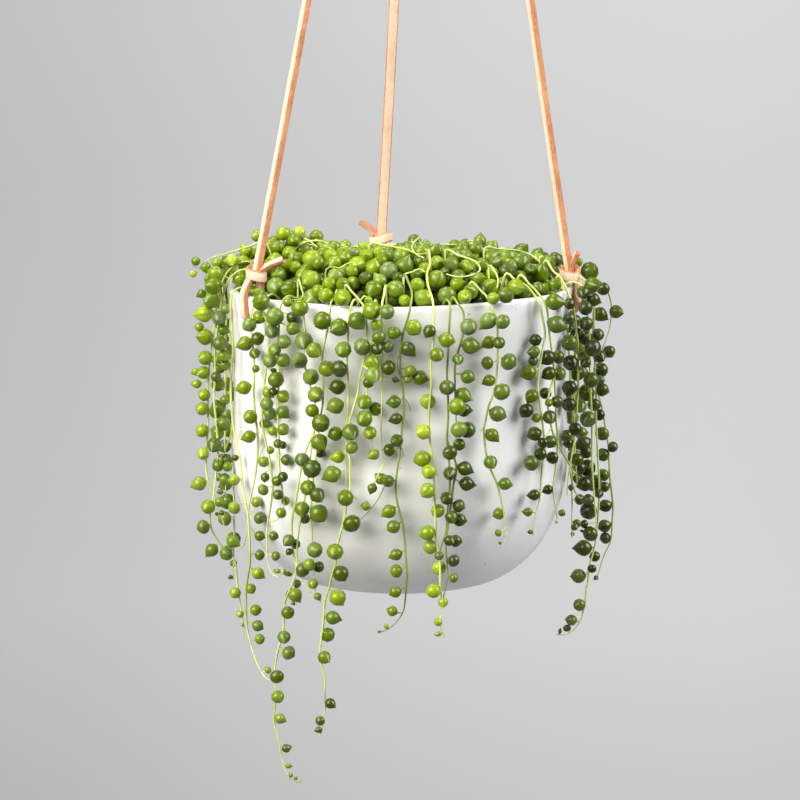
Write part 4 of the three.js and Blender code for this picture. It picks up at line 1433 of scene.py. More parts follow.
        (460, 520, 6.5, OLD), (450, 541, 5.5, OLD), (456, 541, 6, OLD), (454, 561, 5.8, OLD),
        (454, 578, 4.5),
    )),
    Strand("right_short", out=5, over=((452, 298),), stem=(
        (458, 304), (463, 311), (464, 322), (462, 338), (458, 352), (455, 366), (455, 390), (456, 415),
        (456, 442),
    ), leaves=(
        (469, 327, 8.3, DUSTY), (472, 346, 8.5), (458, 360, 5.7), (468, 377, 6.8), (464, 396, 8),
        (457, 407, 8), (465, 410, 7, OLD), (459, 430, 7.7), (468, 430, 8, OLD), (460, 445, 6.3, OLD),
    )),
    Strand("right_wavy", out=4.4, over=((470, 283), (480, 290), (487, 297)), stem=(
        (491, 306), (497, 322), (498, 340), (498, 352), (497, 368), (496, 382), (493, 395), (489, 405),
        (486, 418), (484, 430), (485, 445), (487, 457), (491, 470), (496, 481), (500, 495), (503, 508),
        (505, 522), (507, 534), (504, 542), (501, 545),
    ), branches=(
        ((485, 425), (483, 429), (481, 431)),
    ), leaves=(
        (487, 322, 8.5, DUSTY), (503, 322, 7), (488, 343, 6.7, NEW), (499, 343, 6, BEHIND),
        (487, 363, 6.2), (509, 362, 8), (488, 381, 6), (502, 392, 8), (498, 414, 8), (493, 436, 6.9),
        (491, 463, 6.9), (506, 484, 6.4), (498, 514, 6, NEW), (498, 533, 3.5, NEW), (500, 543, 1.8),
    )),
    Strand("right_thin", out=4.4, lightness=-0.05, over=(
        (505, 275), (515, 280), (525, 285), (532, 292),
    ), stem=(
        (539, 303), (543, 320), (545, 335), (543, 347), (541, 358), (539, 372), (538, 388), (540, 405),
        (542, 420), (544, 436), (545, 448), (543, 460), (541, 478), (540, 495), (538, 506), (535, 515),
        (533, 527), (533, 535),
    ), leaves=(
        (535, 340, 6, OLD), (533, 352, 6, OLD), (533, 361, 5, OLD), (528, 373, 7.5), (531, 397, 6.7),
        (526, 411, 7, OLD), (536, 418, 4.5, NEW), (534, 434, 7, OLD), (540, 454, 6.3, OLD),
        (531, 463, 7.3), (533, 495, 5.7, OLD), (527, 512, 4.5), (530, 532, 2.8, OLD),
    )),
    Strand("right_inner", out=4.6, lightness=-0.08, over=((519, 276), (529, 284), (537, 292)), stem=(
        (545, 303), (548, 316), (549, 330), (551, 345), (553, 358), (554, 372), (555, 388), (556, 402),
        (556, 420), (558, 440), (557, 455), (555, 472), (553, 487), (554, 500), (556, 510), (557, 518),
        (555, 524),
    ), branches=(
        ((549, 378), (548, 400), (550, 420), (554, 436), (561, 450), (568, 462), (574, 473), (580, 478)),
    ), leaves=(
        (556, 302, 8.5), (558, 325, 9), (547, 358, 7.6, OLD), (558, 357, 6.5), (548, 374, 6.9, OLD),
        (559, 374, 6.5), (545, 394, 6, OLD), (557, 402, 6.1, OLD), (549, 403, 4, NEW),
        (550, 418, 7, OLD), (550, 442, 6.5), (543, 443, 5.5, OLD), (552, 458, 6, OLD),
        (547, 490, 5, OLD), (562, 513, 3.5), (556, 522, 2),
    )),
    Strand("right_dense", out=5, lightness=-0.12, over=(
        (544, 262), (553, 271), (561, 279), (567, 290),
    ), stem=(
        (572, 303), (575, 318), (577, 335), (578, 355), (578, 385), (577, 405), (576, 425), (574, 442),
        (571, 460), (568, 478), (567, 495),
    ), branches=(
        ((576, 468), (577, 480), (576, 486), (573, 487)),
        ((571, 470), (573, 486), (577, 495), (582, 499)),
    ), leaves=(
        (569, 304, 5.7, OLD), (568, 319, 6, OLD), (569, 343, 8), (571, 363, 7.6, OLD), (577, 374, 7.6),
        (569, 389, 7.6, OLD), (569, 405, 7, OLD), (575, 429, 6.2, OLD), (566, 436, 5.7),
        (568, 443, 5.3, OLD), (577, 460, 6.4), (580, 468, 6, OLD), (571, 488, 3, OLD),
    )),
    Strand("right_trail", side=-22, lightness=-0.15, stem=(
        (574, 282), (584, 290), (588, 318), (590, 345), (590, 380), (591, 400), (592, 420), (592, 440),
        (592, 460), (593, 480), (595, 505), (596, 525), (595, 540),
    ), leaves=(
        (576, 333, 5.7, OLD), (583, 293, 6.5, OLD), (594, 300, 7, OLD), (585, 308, 7.2, OLD),
        (586, 324, 7, OLD), (585, 338, 7, OLD), (593, 348, 8, OLD), (585, 363, 5.5), (591, 380, 7.2),
        (586, 393, 8, OLD), (587, 420, 8.2), (582, 444, 7.5, OLD), (586, 452, 6, OLD),
        (587, 468, 8, OLD), (584, 484, 7.3, OLD), (587, 500, 5.7, OLD), (588, 511, 8.4, OLD),
        (584, 524, 4, OLD), (590, 534, 7.2, OLD), (582, 531, 1.8, OLD),
    )),
    Strand("right_long", side=-9, lightness=-0.12, stem=(
        (578, 276), (588, 284), (594, 300), (594, 325), (595, 345), (595, 370), (596, 390), (596, 415),
        (597, 440), (598, 460), (599, 480), (599, 500), (598, 515), (597, 530), (595, 545), (592, 556),
        (589, 568), (588, 580), (586, 592), (585, 603), (583, 612), (579, 623), (573, 630), (567, 634),
        (560, 635), (556, 634),
    ), leaves=(
        (593, 285, 8), (598, 335, 6.2, OLD), (600, 357, 6.5), (601, 370, 7.2, OLD), (600, 380, 5),
        (603, 390, 6.8), (594, 405, 6.2, OLD), (600, 415, 5.8, OLD), (593, 483, 8.4),
        (599, 494, 4.5, OLD), (582, 548, 8), (595, 557, 5.4, OLD), (592, 569, 4.2, OLD), (578, 576, 7),
        (579, 605, 6), (571, 620, 5.4), (567, 628, 3.7, OLD), (560, 631, 2.2, OLD),
    )),
    Strand("right_outer", side=4, lightness=-0.08, stem=(
        (582, 272), (592, 280), (594, 300), (593, 330), (595, 360), (597, 388), (602, 408), (605, 425),
        (608, 442), (609, 460), (610, 478), (612, 495), (613, 508), (612, 525), (611, 540), (607, 549),
        (603, 558), (600, 568), (597, 576), (593, 580),
    ), branches=(
        ((590, 276), (600, 281), (607, 290), (611, 303), (611, 318), (609, 330), (605, 342), (601, 352)),
    ), leaves=(
        (590, 271, 8.5, NEW), (603, 289, 6.2, OLD), (601, 315, 7.3), (617, 312, 6.7), (609, 352, 6.2),
        (602, 434, 6.6), (613, 447, 5, OLD), (602, 455, 6.6), (603, 475, 5.8), (604, 487, 5.2),
        (605, 506, 6.2, OLD), (604, 526, 6.2, OLD), (605, 538, 5.5, OLD), (596, 578, 2.8, OLD),
    )),
)

HEAP_LEAVES = (
    (240, 272, 8, DUSTY), (245, 250, 6.5, NEW), (243, 262, 6.5, NEW), (257, 236, 6, NEW),
    (274, 241, 5.5), (279, 250, 8.5), (283, 233, 7, NEW), (290, 245, 5), (267, 258, 6),
    (286, 266, 7.5), (278, 275, 8), (276, 287, 9, DUSTY), (264, 285, 6, DUSTY), (289, 289, 9, OLD),
    (258, 293, 6.5), (241, 284, 4.5, OLD), (300, 232, 6.5, NEW), (316, 237, 7), (300, 250, 8.7),
    (294, 257, 6.5), (312, 260, 9.2), (295, 267, 6, NEW), (334, 247, 6.7), (326, 247, 5.5),
    (345, 246, 6.3, NEW), (331, 256, 7, NEW), (334, 263, 6.5, NEW), (345, 258, 6.3, OLD),
    (354, 253, 5.5, DUSTY), (364, 247, 6.8, NEW), (357, 265, 8.3, NEW), (366, 256, 7, NEW),
    (378, 254, 7.5), (374, 267, 7.8, NEW), (387, 256, 6.4), (389, 271, 8.7, DUSTY),
    (365, 278, 6.5, OLD), (379, 280, 7.2, DUSTY), (310, 281, 10, NEW), (335, 276, 7.7, DUSTY),
    (329, 284, 7.2), (343, 284, 7.2, NEW), (353, 283, 6.8, DUSTY), (351, 271, 6.2),
    (312, 297, 10, DUSTY), (326, 296, 7.7), (343, 298, 8.7), (373, 290, 8.7), (395, 289, 8.7),
    (368, 300, 4, NEW), (403, 252, 6.7, NEW), (405, 265, 9.2), (415, 241, 6.7), (426, 244, 4.5),
    (434, 250, 6.7, NEW), (420, 262, 7.2, OLD), (437, 263, 7.7, NEW), (437, 279, 9.3),
    (447, 253, 6.3), (450, 264, 7.7), (455, 246, 6.3, NEW), (464, 247, 6.7), (480, 240, 6.5),
    (475, 250, 6.2, NEW), (492, 247, 6.7, NEW), (468, 267, 8, NEW), (484, 266, 5.8),
    (491, 257, 7.7), (492, 273, 6.2, NEW), (458, 284, 7.3, NEW), (470, 291, 7.7),
    (465, 297, 7.2, NEW), (447, 296, 8.8), (423, 298, 9.2), (417, 285, 7.2, NEW),
    (405, 300, 6.2, NEW), (416, 275, 5.5), (491, 286, 8.7, NEW), (494, 298, 6.2, NEW),
    (508, 257, 8.7), (521, 262, 8.7), (507, 272, 8.2, OLD), (520, 277, 7.7), (517, 287, 8.2, NEW),
    (503, 284, 6.8), (506, 295, 7.7, OLD), (525, 294, 6.2), (540, 272, 9.2), (537, 260, 7.2, NEW),
    (556, 259, 6.8, OLD), (578, 262, 4.8), (555, 285, 7.2), (546, 291, 7.7), (538, 288, 6),
    (473, 278, 6, OLD), (445, 272, 5, OLD), (398, 278, 6, OLD), (530, 270, 6, OLD),
)

HEAP_STEMS = (
    ((284, 231), (291, 236), (300, 238), (308, 240), (317, 247)),
    ((298, 279), (301, 287), (303, 296), (297, 300), (290, 299)),
    ((326, 270), (333, 267), (340, 268), (346, 264), (352, 262)),
    ((337, 290), (334, 298), (331, 305)),
    ((370, 244), (383, 245), (395, 247), (408, 250), (418, 254), (427, 253)),
    ((446, 250), (458, 255), (470, 259), (477, 263), (480, 270), (472, 275), (458, 277), (446, 274)),
    ((404, 276), (412, 272), (419, 269), (425, 272)),
    ((485, 248), (500, 249), (515, 250), (527, 253), (537, 258)),
    ((540, 256), (550, 262), (562, 268)),
    ((489, 265), (495, 272), (498, 280), (497, 288)),
    ((420, 238), (412, 246), (416, 254), (424, 258)),
    ((366, 296), (360, 301), (356, 307)),
)

# The lightness falls from the top layer to the deepest, as painted shade deeper in the heap.
HEAP_LAYERS = (  # height over the heap's top, spacing and reach, all mm, and lightness
    (0.0, 7.2, 82.5, 0.07), (-5.6, 7.6, 78, -0.16), (-11.5, 8.8, 74, -0.3), (-17.0, 9.6, 70, -0.4),
)
SUNFLOWER = 137.508  # degrees from one leaf of a layer to the next, as in a sunflower

# strands whose stems get the darker copy, partly as painted shade, partly as older stems
SHADED_AND_OLD_STEMS = ("joined_right", "right_short", "centre")
BACK_SEED = 2711
BACK_COUNT = 16
BACK_FROM, BACK_TO = 101.0, 263.0  # azimuths
BACK_LENGTHS = (70.0, 205.0)
BACK_STEP = 24.0
LACE_BERTH = 5.5  # degrees between the back lace and a strand
HEAP_LIGHTNESS = 0.11
BACK_LIGHTNESS = -0.04
# the azimuth of the window light: leaves on this side of the pot are painted lighter
PAINTED_LIGHT_SIDE = -1.1  # azimuth, in radians
BARE_AZIMUTHS = (115.0, 130.0)  # where the picture shows no strand below the pot's right side
BARE_LENGTH = 120.0  # how far a strand there hangs, mm


@dataclass(frozen=True)
class BackStrand:
    """One strand of the back. Its route's points are (azimuth, depth)."""

    name: str
    arch: float
    out: float
    route: tuple[Pair, ...]

    def line(self, index: int) -> Array:
        """The stem: up out of the soil, over the rim and down through its own points."""
        azimuth = self.route[0][0]
        root = ROOT_RINGS[index % len(ROOT_RINGS)]
        points = [
            around(azimuth, root, -SOIL_DEPTH - ROOT_DEPTH + GAP),
            around(azimuth, root, -SOIL_DEPTH + 2),
            around(azimuth, root + 3, self.arch - 6),
            around(azimuth, POT_RADIUS - 5, self.arch),
            around(azimuth, POT_RADIUS + max(3.8, 0.6 * self.out), -1),
        ]
        points += [around(a, POT_RADIUS + self.out, -depth) for a, depth in self.route]
        return catmull_rom(points)


def back_strands() -> list[BackStrand]:
    """The strands that hang down the back, by the solids' own rule and draws.

    One is shorter than in the solids, because its end would show where the picture has none.
    """
    draws = solid_draws(BACK_SEED)
    lace = LACES[2].azimuth
    strands = []
    for i in range(BACK_COUNT):
        azimuth = BACK_FROM + (BACK_TO - BACK_FROM) * i / (BACK_COUNT - 1) + 2 * (next(draws) - 0.5)
        if abs(azimuth - lace) < LACE_BERTH:
            azimuth = lace + math.copysign(LACE_BERTH, azimuth - lace)
        length = BACK_LENGTHS[0] + (BACK_LENGTHS[1] - BACK_LENGTHS[0]) * next(draws)
        if BARE_AZIMUTHS[0] < azimuth < BARE_AZIMUTHS[1]:
            length = min(length, BARE_LENGTH)
        phase, sway = 2 * math.pi * next(draws), 0.8 + 0.9 * next(draws)
        depths = np.arange(12, length, BACK_STEP)
        route = tuple((azimuth + sway * math.sin(phase + d / 22), float(d)) for d in depths)
        strands.append(BackStrand(f"back_{i + 1}", 8 + 3 * next(draws), 2.6 + 1.6 * next(draws), route))
    return strands


Grown = list[tuple[Array, Leaf]]  # each leaf with the point of the stem that it grows from


@dataclass
class Plant:
    """The heap over the soil and every strand, leaf by leaf."""

    datum: Datum
    finishes: Finishes
    moulds: LeafMoulds
    room: Room = field(default_factory=Room)
    rng: np.random.Generator = field(default_factory=lambda: np.random.default_rng(41))
    leans: tuple[float, ...] = (0.35, 0.75, 1.15, 1.5, 0.1)  # of a back leaf out of the wall's plane
    pitch: float = 8.0  # between the leaves of a back strand, mm
    gaps: tuple[float, ...] = (0.5, 0.75, 1.0, 1.25, 1.7)  # how uneven that is
    buried: float = 22.0  # how much of a back stem's start bears no leaf, mm
    kink: float = 0.35  # how far a back stem steps aside at each leaf, mm
    step: float = 1.8  # between the points of a stem, mm
    reach: float = 12.0  # how far a leaf is moved along the line of sight to find room, mm
    shrink: tuple[float, ...] = (1.0, 0.94, 0.88, 0.82, 0.75)  # its size where room is short
    strand_squeeze: float = 0.15  # how far leaves may press into one another, mm
    heap_squeeze: float = 0.5
    layer_squeeze: float = 0.4
    wanderers: int = 46  # stems on the heap that the picture doesn't show
    mounds: list[Array] = field(default_factory=list)  # the heap leaves that the picture gives

    def tone(self, centre: Array, lightness: float, looks: Sequence[Look]) -> Pair:
        """The tone and bloom of a leaf: lighter where it is new, painted lighter on the side that faces the
        window light, and darker where it is old, partly as painted shade.
        """
        azimuth = math.atan2(centre[0], -centre[1])
        # painted light: a lighter tone on the side of the pot that faces the window light
        tone = self.rng.normal(0.5, 0.08) + 0.07 * math.cos(azimuth - PAINTED_LIGHT_SIDE) + lightness
        bloom = max(0.0, self.rng.normal(0.04, 0.1))
        # the darker look is partly painted shade, partly older leaves
        tone += 0.12 * (NEW in looks) - 0.24 * (OLD in looks)
        bloom += 0.36 * (DUSTY in looks)
        return float(np.clip(tone, 0.03, 0.99)), float(min(bloom, 0.8))

    def form(self, radius: float) -> LeafForm:
        """A form for a leaf of this size: buds are slim."""
        if radius < BUD_RADIUS:
            return self.rng.choice([LeafForm.BUD, LeafForm.DROP])
        return self.rng.choice([LeafForm.ROUND] * 2 + [LeafForm.DROP] * 2 + [LeafForm.SQUAT])

    def leaf(
        self, centre: Array, facing: Array, size: float, lightness: float, looks: Sequence[Look]
    ) -> Leaf:
        """Takes the room for a leaf and gives it its form and colour.

        Args:
            centre: its middle, mm.
            facing: the way that its tip points.
            size: its radius, mm.
            lightness: what is added to its tone.
            looks: what sets it apart.
        """
        form = self.form(size)
        tone, bloom = self.tone(centre, lightness, looks)
        self.room.take(centre, size)
        root = centre - facing * size * form.middle
        return Leaf(root, facing, size, form, self.rng.uniform(0, 2 * math.pi), tone, bloom)

    def has_room(self, centre: Array, radius: float, owner: int = 0, squeeze: float = 0.0) -> bool:
        """Whether a leaf can stand at a place."""
        return self.room.is_free(centre, radius, owner, squeeze) and clear_of_pot(centre, radius)

    # Strands that the picture gives

    def along_sight(self, spot: LeafSpot, reach: float, squeeze: float) -> tuple[Array, float] | None:
        """Finds room for a leaf on its line of sight.

        Args:
            spot: the leaf's place, radius and looks in the picture.
            reach: how far from the camera it would best stand.
            squeeze: how far it may press into another leaf.

        Returns:
            The leaf's middle and its radius, or None.
        """
        x, y, radius, *looks = spot
        eye, way = SIGHT.eye, SIGHT.ray(x, y)
        size = SWELL * radius * reach / SIGHT.focal
        first = 1 if BEHIND in looks else -1
        for share in self.shrink:
            for shift in np.arange(0, self.reach, 0.4):
                for side in (first, -first):
                    centre = eye + way * (reach + side * shift)
                    if self.has_room(centre, size * share, squeeze=squeeze):
                        return centre, size * share
        return None

    def pictured_leaves(self, strand: Strand, lines: Sequence[Array]) -> Grown:
        """The leaves that the picture shows on a strand."""
        stems = np.vstack(lines)
        beside = np.hypot(stems[:, 0], stems[:, 1]) > POT_RADIUS
        stems = stems[beside | (stems[:, 2] > 1) | (stems[:, 2] < -POT_DEPTH)]
        grown = []
        for spot in strand.leaves:
            x, y, _, *looks = spot
            way = SIGHT.ray(x, y)
            reaches = (stems - SIGHT.eye) @ way
            aside = np.linalg.norm(stems - SIGHT.eye - reaches[:, None] * way, axis=1)
            reach = float(reaches[int(np.argmin(aside))])
            found = self.along_sight(spot, reach, self.strand_squeeze)
            if found is None:
                LOG.info("no room for %s's leaf at %s", strand.name, spot[:2])
                continue
            centre, size = found
            above = centre + (0, 0, 0.5 * size)
            point = stems[int(np.argmin(np.linalg.norm(stems - above, axis=1)))]
            facing = unit(unit(centre - point) + self.rng.normal(0, 0.16, 3))
            grown.append((point, self.leaf(centre, facing, size, strand.lightness, looks)))
        return grown

    # Strands of the back

    def leaf_beside(self, stem: Array, place: int, side: int, size: float, owner: int) -> Leaf | None:
        """Finds room for one leaf beside a stem.

        Args:
            stem: the stem's points, mm.
            place: the number of the point that it grows from.
            side: 1 or -1, the side that is tried first.
            size: its radius, mm.
            owner: the strand's number.

        Returns:
            The leaf, or None.
        """
        point = stem[place]
        along = unit(stem[min(place + 1, len(stem) - 1)] - stem[place - 1])
        level = unit(point * (1, 1, 0))
        across = unit(np.cross(along, level))
        outward = unit(np.cross(across, along))
        stalk = PEDICEL * self.rng.uniform(0.3, 1.3)
        leans = self.rng.permutation(self.leans)
        for turn in (side, -side):
            for lean in leans:
                angle = lean + self.rng.uniform(-0.12, 0.12)
                way = across * turn * math.cos(angle) + outward * math.sin(angle)
                way = unit(way + (0, 0, self.rng.uniform(-0.55, 0.15)))
                centre = point + way * (stalk + size)
                if self.has_room(centre, size, owner):
                    facing = unit(way + self.rng.normal(0, 0.2, 3))
                    return self.leaf(centre, facing, size, BACK_LIGHTNESS, ())
        return None

    def ruled_leaves(self, stem: Array, owner: int) -> Grown:
        """The leaves of a strand of the back, from its tip up."""
        total = (len(stem) - 1) * self.step
        found = []
        side = 1
        run = total - 0.5
        while run > self.buried:
            place = int(run / self.step)
            point = stem[place]
            grown = min(1.0, (total - run) / TIP_TAPER)
            if point[2] > -4 or math.hypot(point[0], point[1]) > POT_RADIUS:
                size = TIP_RADIUS + (LEAF_RADIUS - TIP_RADIUS) * grown
                size *= float(np.clip(self.rng.normal(1, 0.07), 0.84, 1.14))
                side = -side
                leaf = self.leaf_beside(stem, place, side, size, owner)
                if leaf:
                    found.append((point, leaf))
            run -= self.pitch * (0.55 + 0.45 * grown) * self.rng.choice(self.gaps)
        return found

    def kinked(self, stem: Array) -> Array:
        """The stem's line with a small step aside at each leaf joint."""
        sideways = np.cross(np.gradient(stem, axis=0), stem * (1, 1, 0))
        sideways /= np.maximum(np.linalg.norm(sideways, axis=1), 1e-9)[:, None]
        zigzag = np.abs(((np.arange(len(stem)) / 4 + self.rng.random()) % 2) - 1) - 0.5
        return stem + sideways * (zigzag * 2 * self.kink)[:, None]

    def strand(self, strand: Strand | BackStrand, lines: Sequence[Array], grown: Grown) -> list[Piece]:
        """Builds a strand.

        Args:
            strand: the strand.
            lines: its stems' points, mm.
            grown: its leaves, each with the point that it grows from.

        Returns:
            The piece of stems and leaf stalks, and the piece of leaves.
        """
        name = strand.name
        # the darker stem copy is partly painted shade on strands in shade, partly older stems
        bark = self.finishes.shaded_and_old_stem if name in SHADED_AND_OLD_STEMS else self.finishes.lit_and_young_stem
        lines, radii = list(lines), []
        for line in lines:
            radii.append(np.clip(np.linspace(len(line) * self.step / 40, 0.3, len(line)), 0.55, 1.1))
        for point, leaf in grown:
            into = leaf.root + leaf.direction * leaf.radius * 0.12
            middle = (point + into) / 2 + (0, 0, 0.3)
            lines.append(np.array([point, middle, into]))
            radii.append(np.array((0.8, 0.55, 0.7)))
        stems = curve_piece(f"stem_{name}", lines, self.datum, radius=STEM_RADIUS, radii=radii, sides=1)
        smooth(stems, 80)
        leaves = self.moulds.copied(f"leaves_{name}", [leaf for _, leaf in grown])
        node = f"strand_{name}"
        return [
            dress(stems, "pearl_leaf", [bark], node),
            dress(leaves, "pearl_leaf", [self.finishes.leaf], node),
        ]

    # The heap

    def heap_height(self, x: float, y: float) -> float:
        """How high the heap's leaves stand over the rim at a place: its dome, raised by its mounds."""
        dome = heap_dome(math.hypot(x, y)) + 1.6 * noise.noise(Vector((x, y, 5)) / 17)
        mounds = np.array(self.mounds)
        near = np.exp(-((mounds[:, 0] - x) ** 2 + (mounds[:, 1] - y) ** 2) / (2 * MOUND_SPREAD**2))
        raised = float((near * mounds[:, 2]).sum() / (near.sum() + 0.25))
        return dome + raised

    def pictured_heap(self) -> list[Leaf]:
        """The heap's leaves that the picture shows."""
        leaves = []
        for spot in HEAP_LEAVES:
            x, y, _, *looks = spot
            place = SIGHT.on_heap(x, y, 0)
            found = self.along_sight(spot, float(np.linalg.norm(place - SIGHT.eye)), self.heap_squeeze)
            if found is None:
                LOG.info("no room for the heap's leaf at %s", spot[:2])
                continue
            centre, size = found
            outward = centre * (1, 1, 0) / 80
            facing = unit(outward + (0, -0.35, 0.45) + self.rng.normal(0, 0.55, 3))
            leaves.append(self.leaf(centre, facing, size, HEAP_LIGHTNESS, looks))
            rise = centre[2] - heap_dome(math.hypot(centre[0], centre[1]))
            self.mounds.append(np.array((centre[0], centre[1], rise)))
        return leaves

    def heap_layer(self, level: float, spacing: float, reach: float, lightness: float) -> list[Leaf]:
        """One layer of the heap, its leaves spread like the seeds of a sunflower and then jostled.

        Args:
            level: the layer's height over the heap's top, mm.
            spacing: how far its leaves stand from one another, mm.
            reach: its radius, mm.
            lightness: what is added to its leaves' tone, lower in the deeper layers as painted shade.
        """
        leaves = []
        count = round(1.08 * math.pi * reach**2 / spacing**2)
        for i in range(count):
            radius = reach * math.sqrt((i + 0.5) / count)
            x, y, _ = around(i * SUNFLOWER + level, radius, 0)
            size = LEAF_RADIUS * float(np.clip(self.rng.normal(1, 0.1), 0.7, 1.2))
            spot = np.array((x, y, self.heap_height(x, y) + level)) + self.rng.normal(0, 0.9, 3)
            highest = SIGHT.ceiling(x, y) - size
            for lift in (0, -1.4, 1.4, -2.8, -4.2, 2.8):
                centre = spot + (0, 0, lift)
                centre[2] = min(centre[2], highest)
                if self.has_room(centre, size, squeeze=self.layer_squeeze):
                    break
            else:
                continue
            outward = np.array((x, y, 0)) / 70
            facing = unit(outward + (0, 0, 0.4) + self.rng.normal(0, 0.75, 3))
            leaves.append(self.leaf(centre, facing, size, lightness, ()))
        return leaves

    def wandering_stems(self) -> list[Array]:
        """Pale stems that wander through the part of the heap that the picture doesn't show."""
        lines = []
        for _ in range(self.wanderers):
            azimuth = self.rng.uniform(90, 270)
            spot = around(azimuth, 72 * math.sqrt(self.rng.random()), 0)
            heading = self.rng.uniform(0, 2 * math.pi)
            over = self.rng.uniform(-2.5, 3.4)
            points = []
            for _ in range(self.rng.integers(4, 9)):
                r = math.hypot(*spot[:2])
                if r > 80:
                    break
                height = heap_dome(r) + over + self.rng.uniform(-1.5, 1.8)
                height = min(height, SIGHT.ceiling(*spot[:2]) - 1)
                points.append(np.array((*spot[:2], height)))
                heading += self.rng.normal(0, 0.45)
                spot = spot + 8.5 * np.array((math.cos(heading), math.sin(heading), 0))
            if len(points) >= 3:
                points[0][2] -= 7
                lines.append(spaced(catmull_rom(points), self.step))
        return lines

    def heap_lines(self) -> list[Array]:
        """Every stem of the heap, each rooted under the leaves."""
        lines = []
        for spots in HEAP_STEMS:
            points = [SIGHT.on_heap(x, y, 4.0) for x, y in spots]
            points.insert(0, points[0] * (1, 1, 0) + (0, 0, points[0][2] - 9))
            lines.append(spaced(catmull_rom(points), self.step))
        return lines + self.wandering_stems()

    def heap(self, lines: Sequence[Array]) -> list[Piece]:
        """The heap: the leaves and stems that the picture shows, and layers that fill the rest."""
        layers = [self.pictured_heap(), *(self.heap_layer(*layer) for layer in HEAP_LAYERS)]
        pieces = []
        for i, leaves in enumerate(layers):
            piece = self.moulds.copied(f"heap_leaves_{i + 1}", leaves)
            pieces.append(dress(piece, "crown_leaf", [self.finishes.leaf], "crown"))
        radii = [np.linspace(1.1, 0.6, len(line)) for line in lines]
        stems = curve_piece("heap_stems", lines, self.datum, radius=STEM_RADIUS, radii=radii, sides=1)
        smooth(stems, 80)
        return [*pieces, dress(stems, "crown_leaf", [self.finishes.lit_and_young_stem], "crown")]

    def take_laces(self) -> None:
        """Marks the laces' room as taken, as balls about as thick as the thong and the hitch."""
        for lace in LACES:
            knot = lace.knot()
            self.room.take(knot, 5.4)
            for share in (0.55, 1):
                self.room.take(knot + share * np.array(lace.tail), 2.6)
            for point in spaced(catmull_rom(lace.bight()), 2.5):
                self.room.take(point, 2.3)
            for share in np.arange(0.01, 0.12, 0.006):
                self.room.take(knot + (lace.top() - knot) * share, 2.5)

    def made(self) -> list[Piece]:
        """Builds the whole plant."""
        self.take_laces()
        stems = []
        for i, strand in enumerate(FRONT_STRANDS):
            stems.append([spaced(line, self.step) for line in strand.lines(i)])
        backs = back_strands()
        behind = []
        for i, strand in enumerate(backs, len(FRONT_STRANDS)):
            behind.append(self.kinked(spaced(strand.line(i), self.step)))
        heap_lines = self.heap_lines()
        for line in [*(line for lines in stems for line in lines), *heap_lines]:
            for point in line:
                self.room.take(point, STEM_RADIUS)
        for owner, line in enumerate(behind, start=1):
            for point in line[::2]:
                self.room.take(point, STEM_RADIUS, owner)
        pieces = []
        for strand, lines in zip(FRONT_STRANDS, stems):
            pieces += self.strand(strand, lines, self.pictured_leaves(strand, lines))
        for owner, (strand, line) in enumerate(zip(backs, behind), start=1):
            pieces += self.strand(strand, [line], self.ruled_leaves(line, owner))
        return pieces + self.heap(heap_lines)


# ---- Studio ----


def place_camera(datum: Datum) -> None:
    """Places the camera by the sight and makes it the scene's."""
    data = bpy.data.cameras.new("camera")
    data.lens = SIGHT.lens
    data.sensor_width = SIGHT.sensor
    data.clip_end = 50
    camera = linked("camera", data)
    camera.location = datum.metres(SIGHT.eye)
    camera.rotation_euler = (math.pi / 2 - SIGHT.pitch, 0, 0)
    bpy.context.scene.camera = camera


@dataclass(frozen=True)
class SoftLight:
    """A large soft light, which looks at the pot or at another place."""

    name: str
    place: Point  # metres from the rim's middle
    size: float
    watts: float
    colour: str
    target: Point = (0.0, 0.0, -0.06)
    spread: float = 110.0  # degrees, so that little of the light falls on the floor

    def made(self, datum: Datum) -> None:
        """Places the light."""
        data = bpy.data.lights.new(self.name, "AREA")
        data.shape = "DISK"
        data.size = self.size
        data.energy = self.watts
        data.spread = math.radians(self.spread)
        data.color = linear(self.colour)[:3]
        light = linked(self.name, data)
        light.location = datum.rim + Vector(self.place)
        target = datum.rim + Vector(self.target)
        light.rotation_euler = (target - light.location).to_track_quat("-Z", "Y").to_euler()


BACKDROP = (0.0, 4.4, -0.75)  # the middle of what the camera sees of the wall, metres from the rim
LIGHTS = (
    SoftLight("window_left", (-1.75, -1.35, 1.25), 2.4, 47, "#fffcf6"),
    SoftLight("reflector_right", (2.2, -0.4, 1.3), 2.2, 38, "#fbfcff"),
    SoftLight("sky_front", (-0.8, -1.8, 1.2), 2.0, 10, "#fffdfa"),
    SoftLight("skylight", (-0.5, 0.3, 2.1), 1.1, 8, "#ffffff"),
    SoftLight("wall_wash", (0.4, 1.5, 1.7), 2.0, 104, "#fffefc", BACKDROP, 180.0),
)


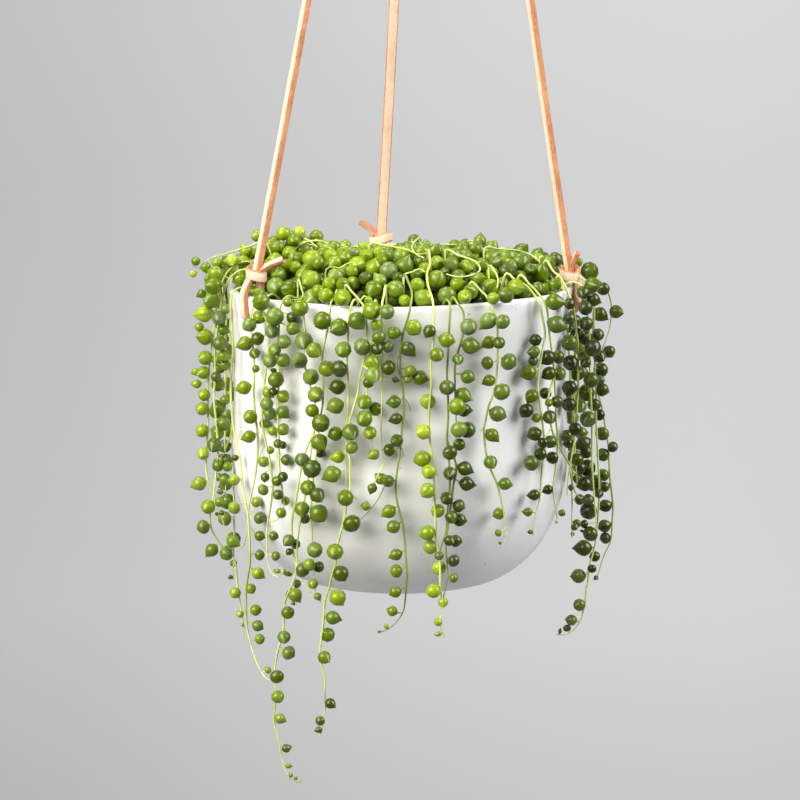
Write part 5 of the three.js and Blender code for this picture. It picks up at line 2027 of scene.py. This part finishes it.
@dataclass(frozen=True)
class Studio:
    """The floor and wall of pale paper in one sweep, and the lights."""

    floor: float = -1.9  # below the rim, metres
    wall: float = 4.4  # behind the pot, metres
    sweep: float = 1.6  # radius between floor and wall
    half_width: float = 7.0
    height: float = 7.0
    steps: int = 24

    def paper(self, datum: Datum) -> Piece:
        """The sweep: a strip of floor, extruded back and up the wall."""
        x, y, z = datum.rim
        front = y - self.half_width
        bpy.ops.mesh.primitive_plane_add(size=2 * self.half_width, location=(x, front, z + self.floor))
        paper = bpy.context.object
        paper.name = "paper_sweep"
        bpy.ops.object.transform_apply(location=True, rotation=True, scale=True)
        back_edge = front + self.half_width
        spots = [vertex.co.y for vertex in paper.data.vertices]
        nears = [min(spots[i] for i in edge.vertices) for edge in paper.data.edges]
        with edit_mode(paper, "edges", [i for i, near in enumerate(nears) if near > back_edge - 0.01]):
            bend = y + self.wall - self.sweep
            route = [(bend, 0.0)]
            for step in range(1, self.steps + 1):
                a = math.pi / 2 * step / self.steps
                route.append((bend + self.sweep * math.sin(a), self.sweep * (1 - math.cos(a))))
            route.append((y + self.wall, self.height))
            at = (back_edge, 0.0)
            for there in route:
                move = (0, there[0] - at[0], there[1] - at[1])
                bpy.ops.mesh.extrude_region_move(TRANSFORM_OT_translate={"value": move})
                at = there
        smooth(paper, 30)
        paper.data.materials.append(StudioPaper().made(z))
        return paper

    def world(self) -> None:
        """Even pale light from all round."""
        world = bpy.data.worlds.new("studio_air")
        world.use_nodes = True
        background = world.node_tree.nodes["Background"]
        background.inputs["Color"].default_value = linear("#f1f2f4")
        background.inputs["Strength"].default_value = 0.13
        bpy.context.scene.world = world

    def made(self, datum: Datum) -> None:
        """Builds the studio."""
        self.paper(datum)
        self.world()
        for light in LIGHTS:
            light.made(datum)
        view = bpy.context.scene.view_settings
        view.view_transform = "Standard"
        view.look = "None"
        view.exposure = 0.0


def write_sizes() -> None:
    """Brings the view layer up to date."""
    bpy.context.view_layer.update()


def main() -> None:
    """Loads the frame and dresses it."""
    logging.basicConfig(level=logging.INFO, format="%(name)s: %(message)s")
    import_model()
    datum = Datum.from_frame()
    place_camera(datum)
    finishes = Finishes()
    pieces = [Pot(datum, finishes).made(), Soil(datum, finishes).made(), *Laces(datum, finishes).made()]
    pieces += Plant(datum, finishes, LeafMoulds(datum)).made()
    for piece in pieces:
        LOG.info("%s: %d faces", piece.name, len(piece.data.polygons))
    Studio().made(datum)
    write_sizes()


if __name__ == "__main__":
    main()
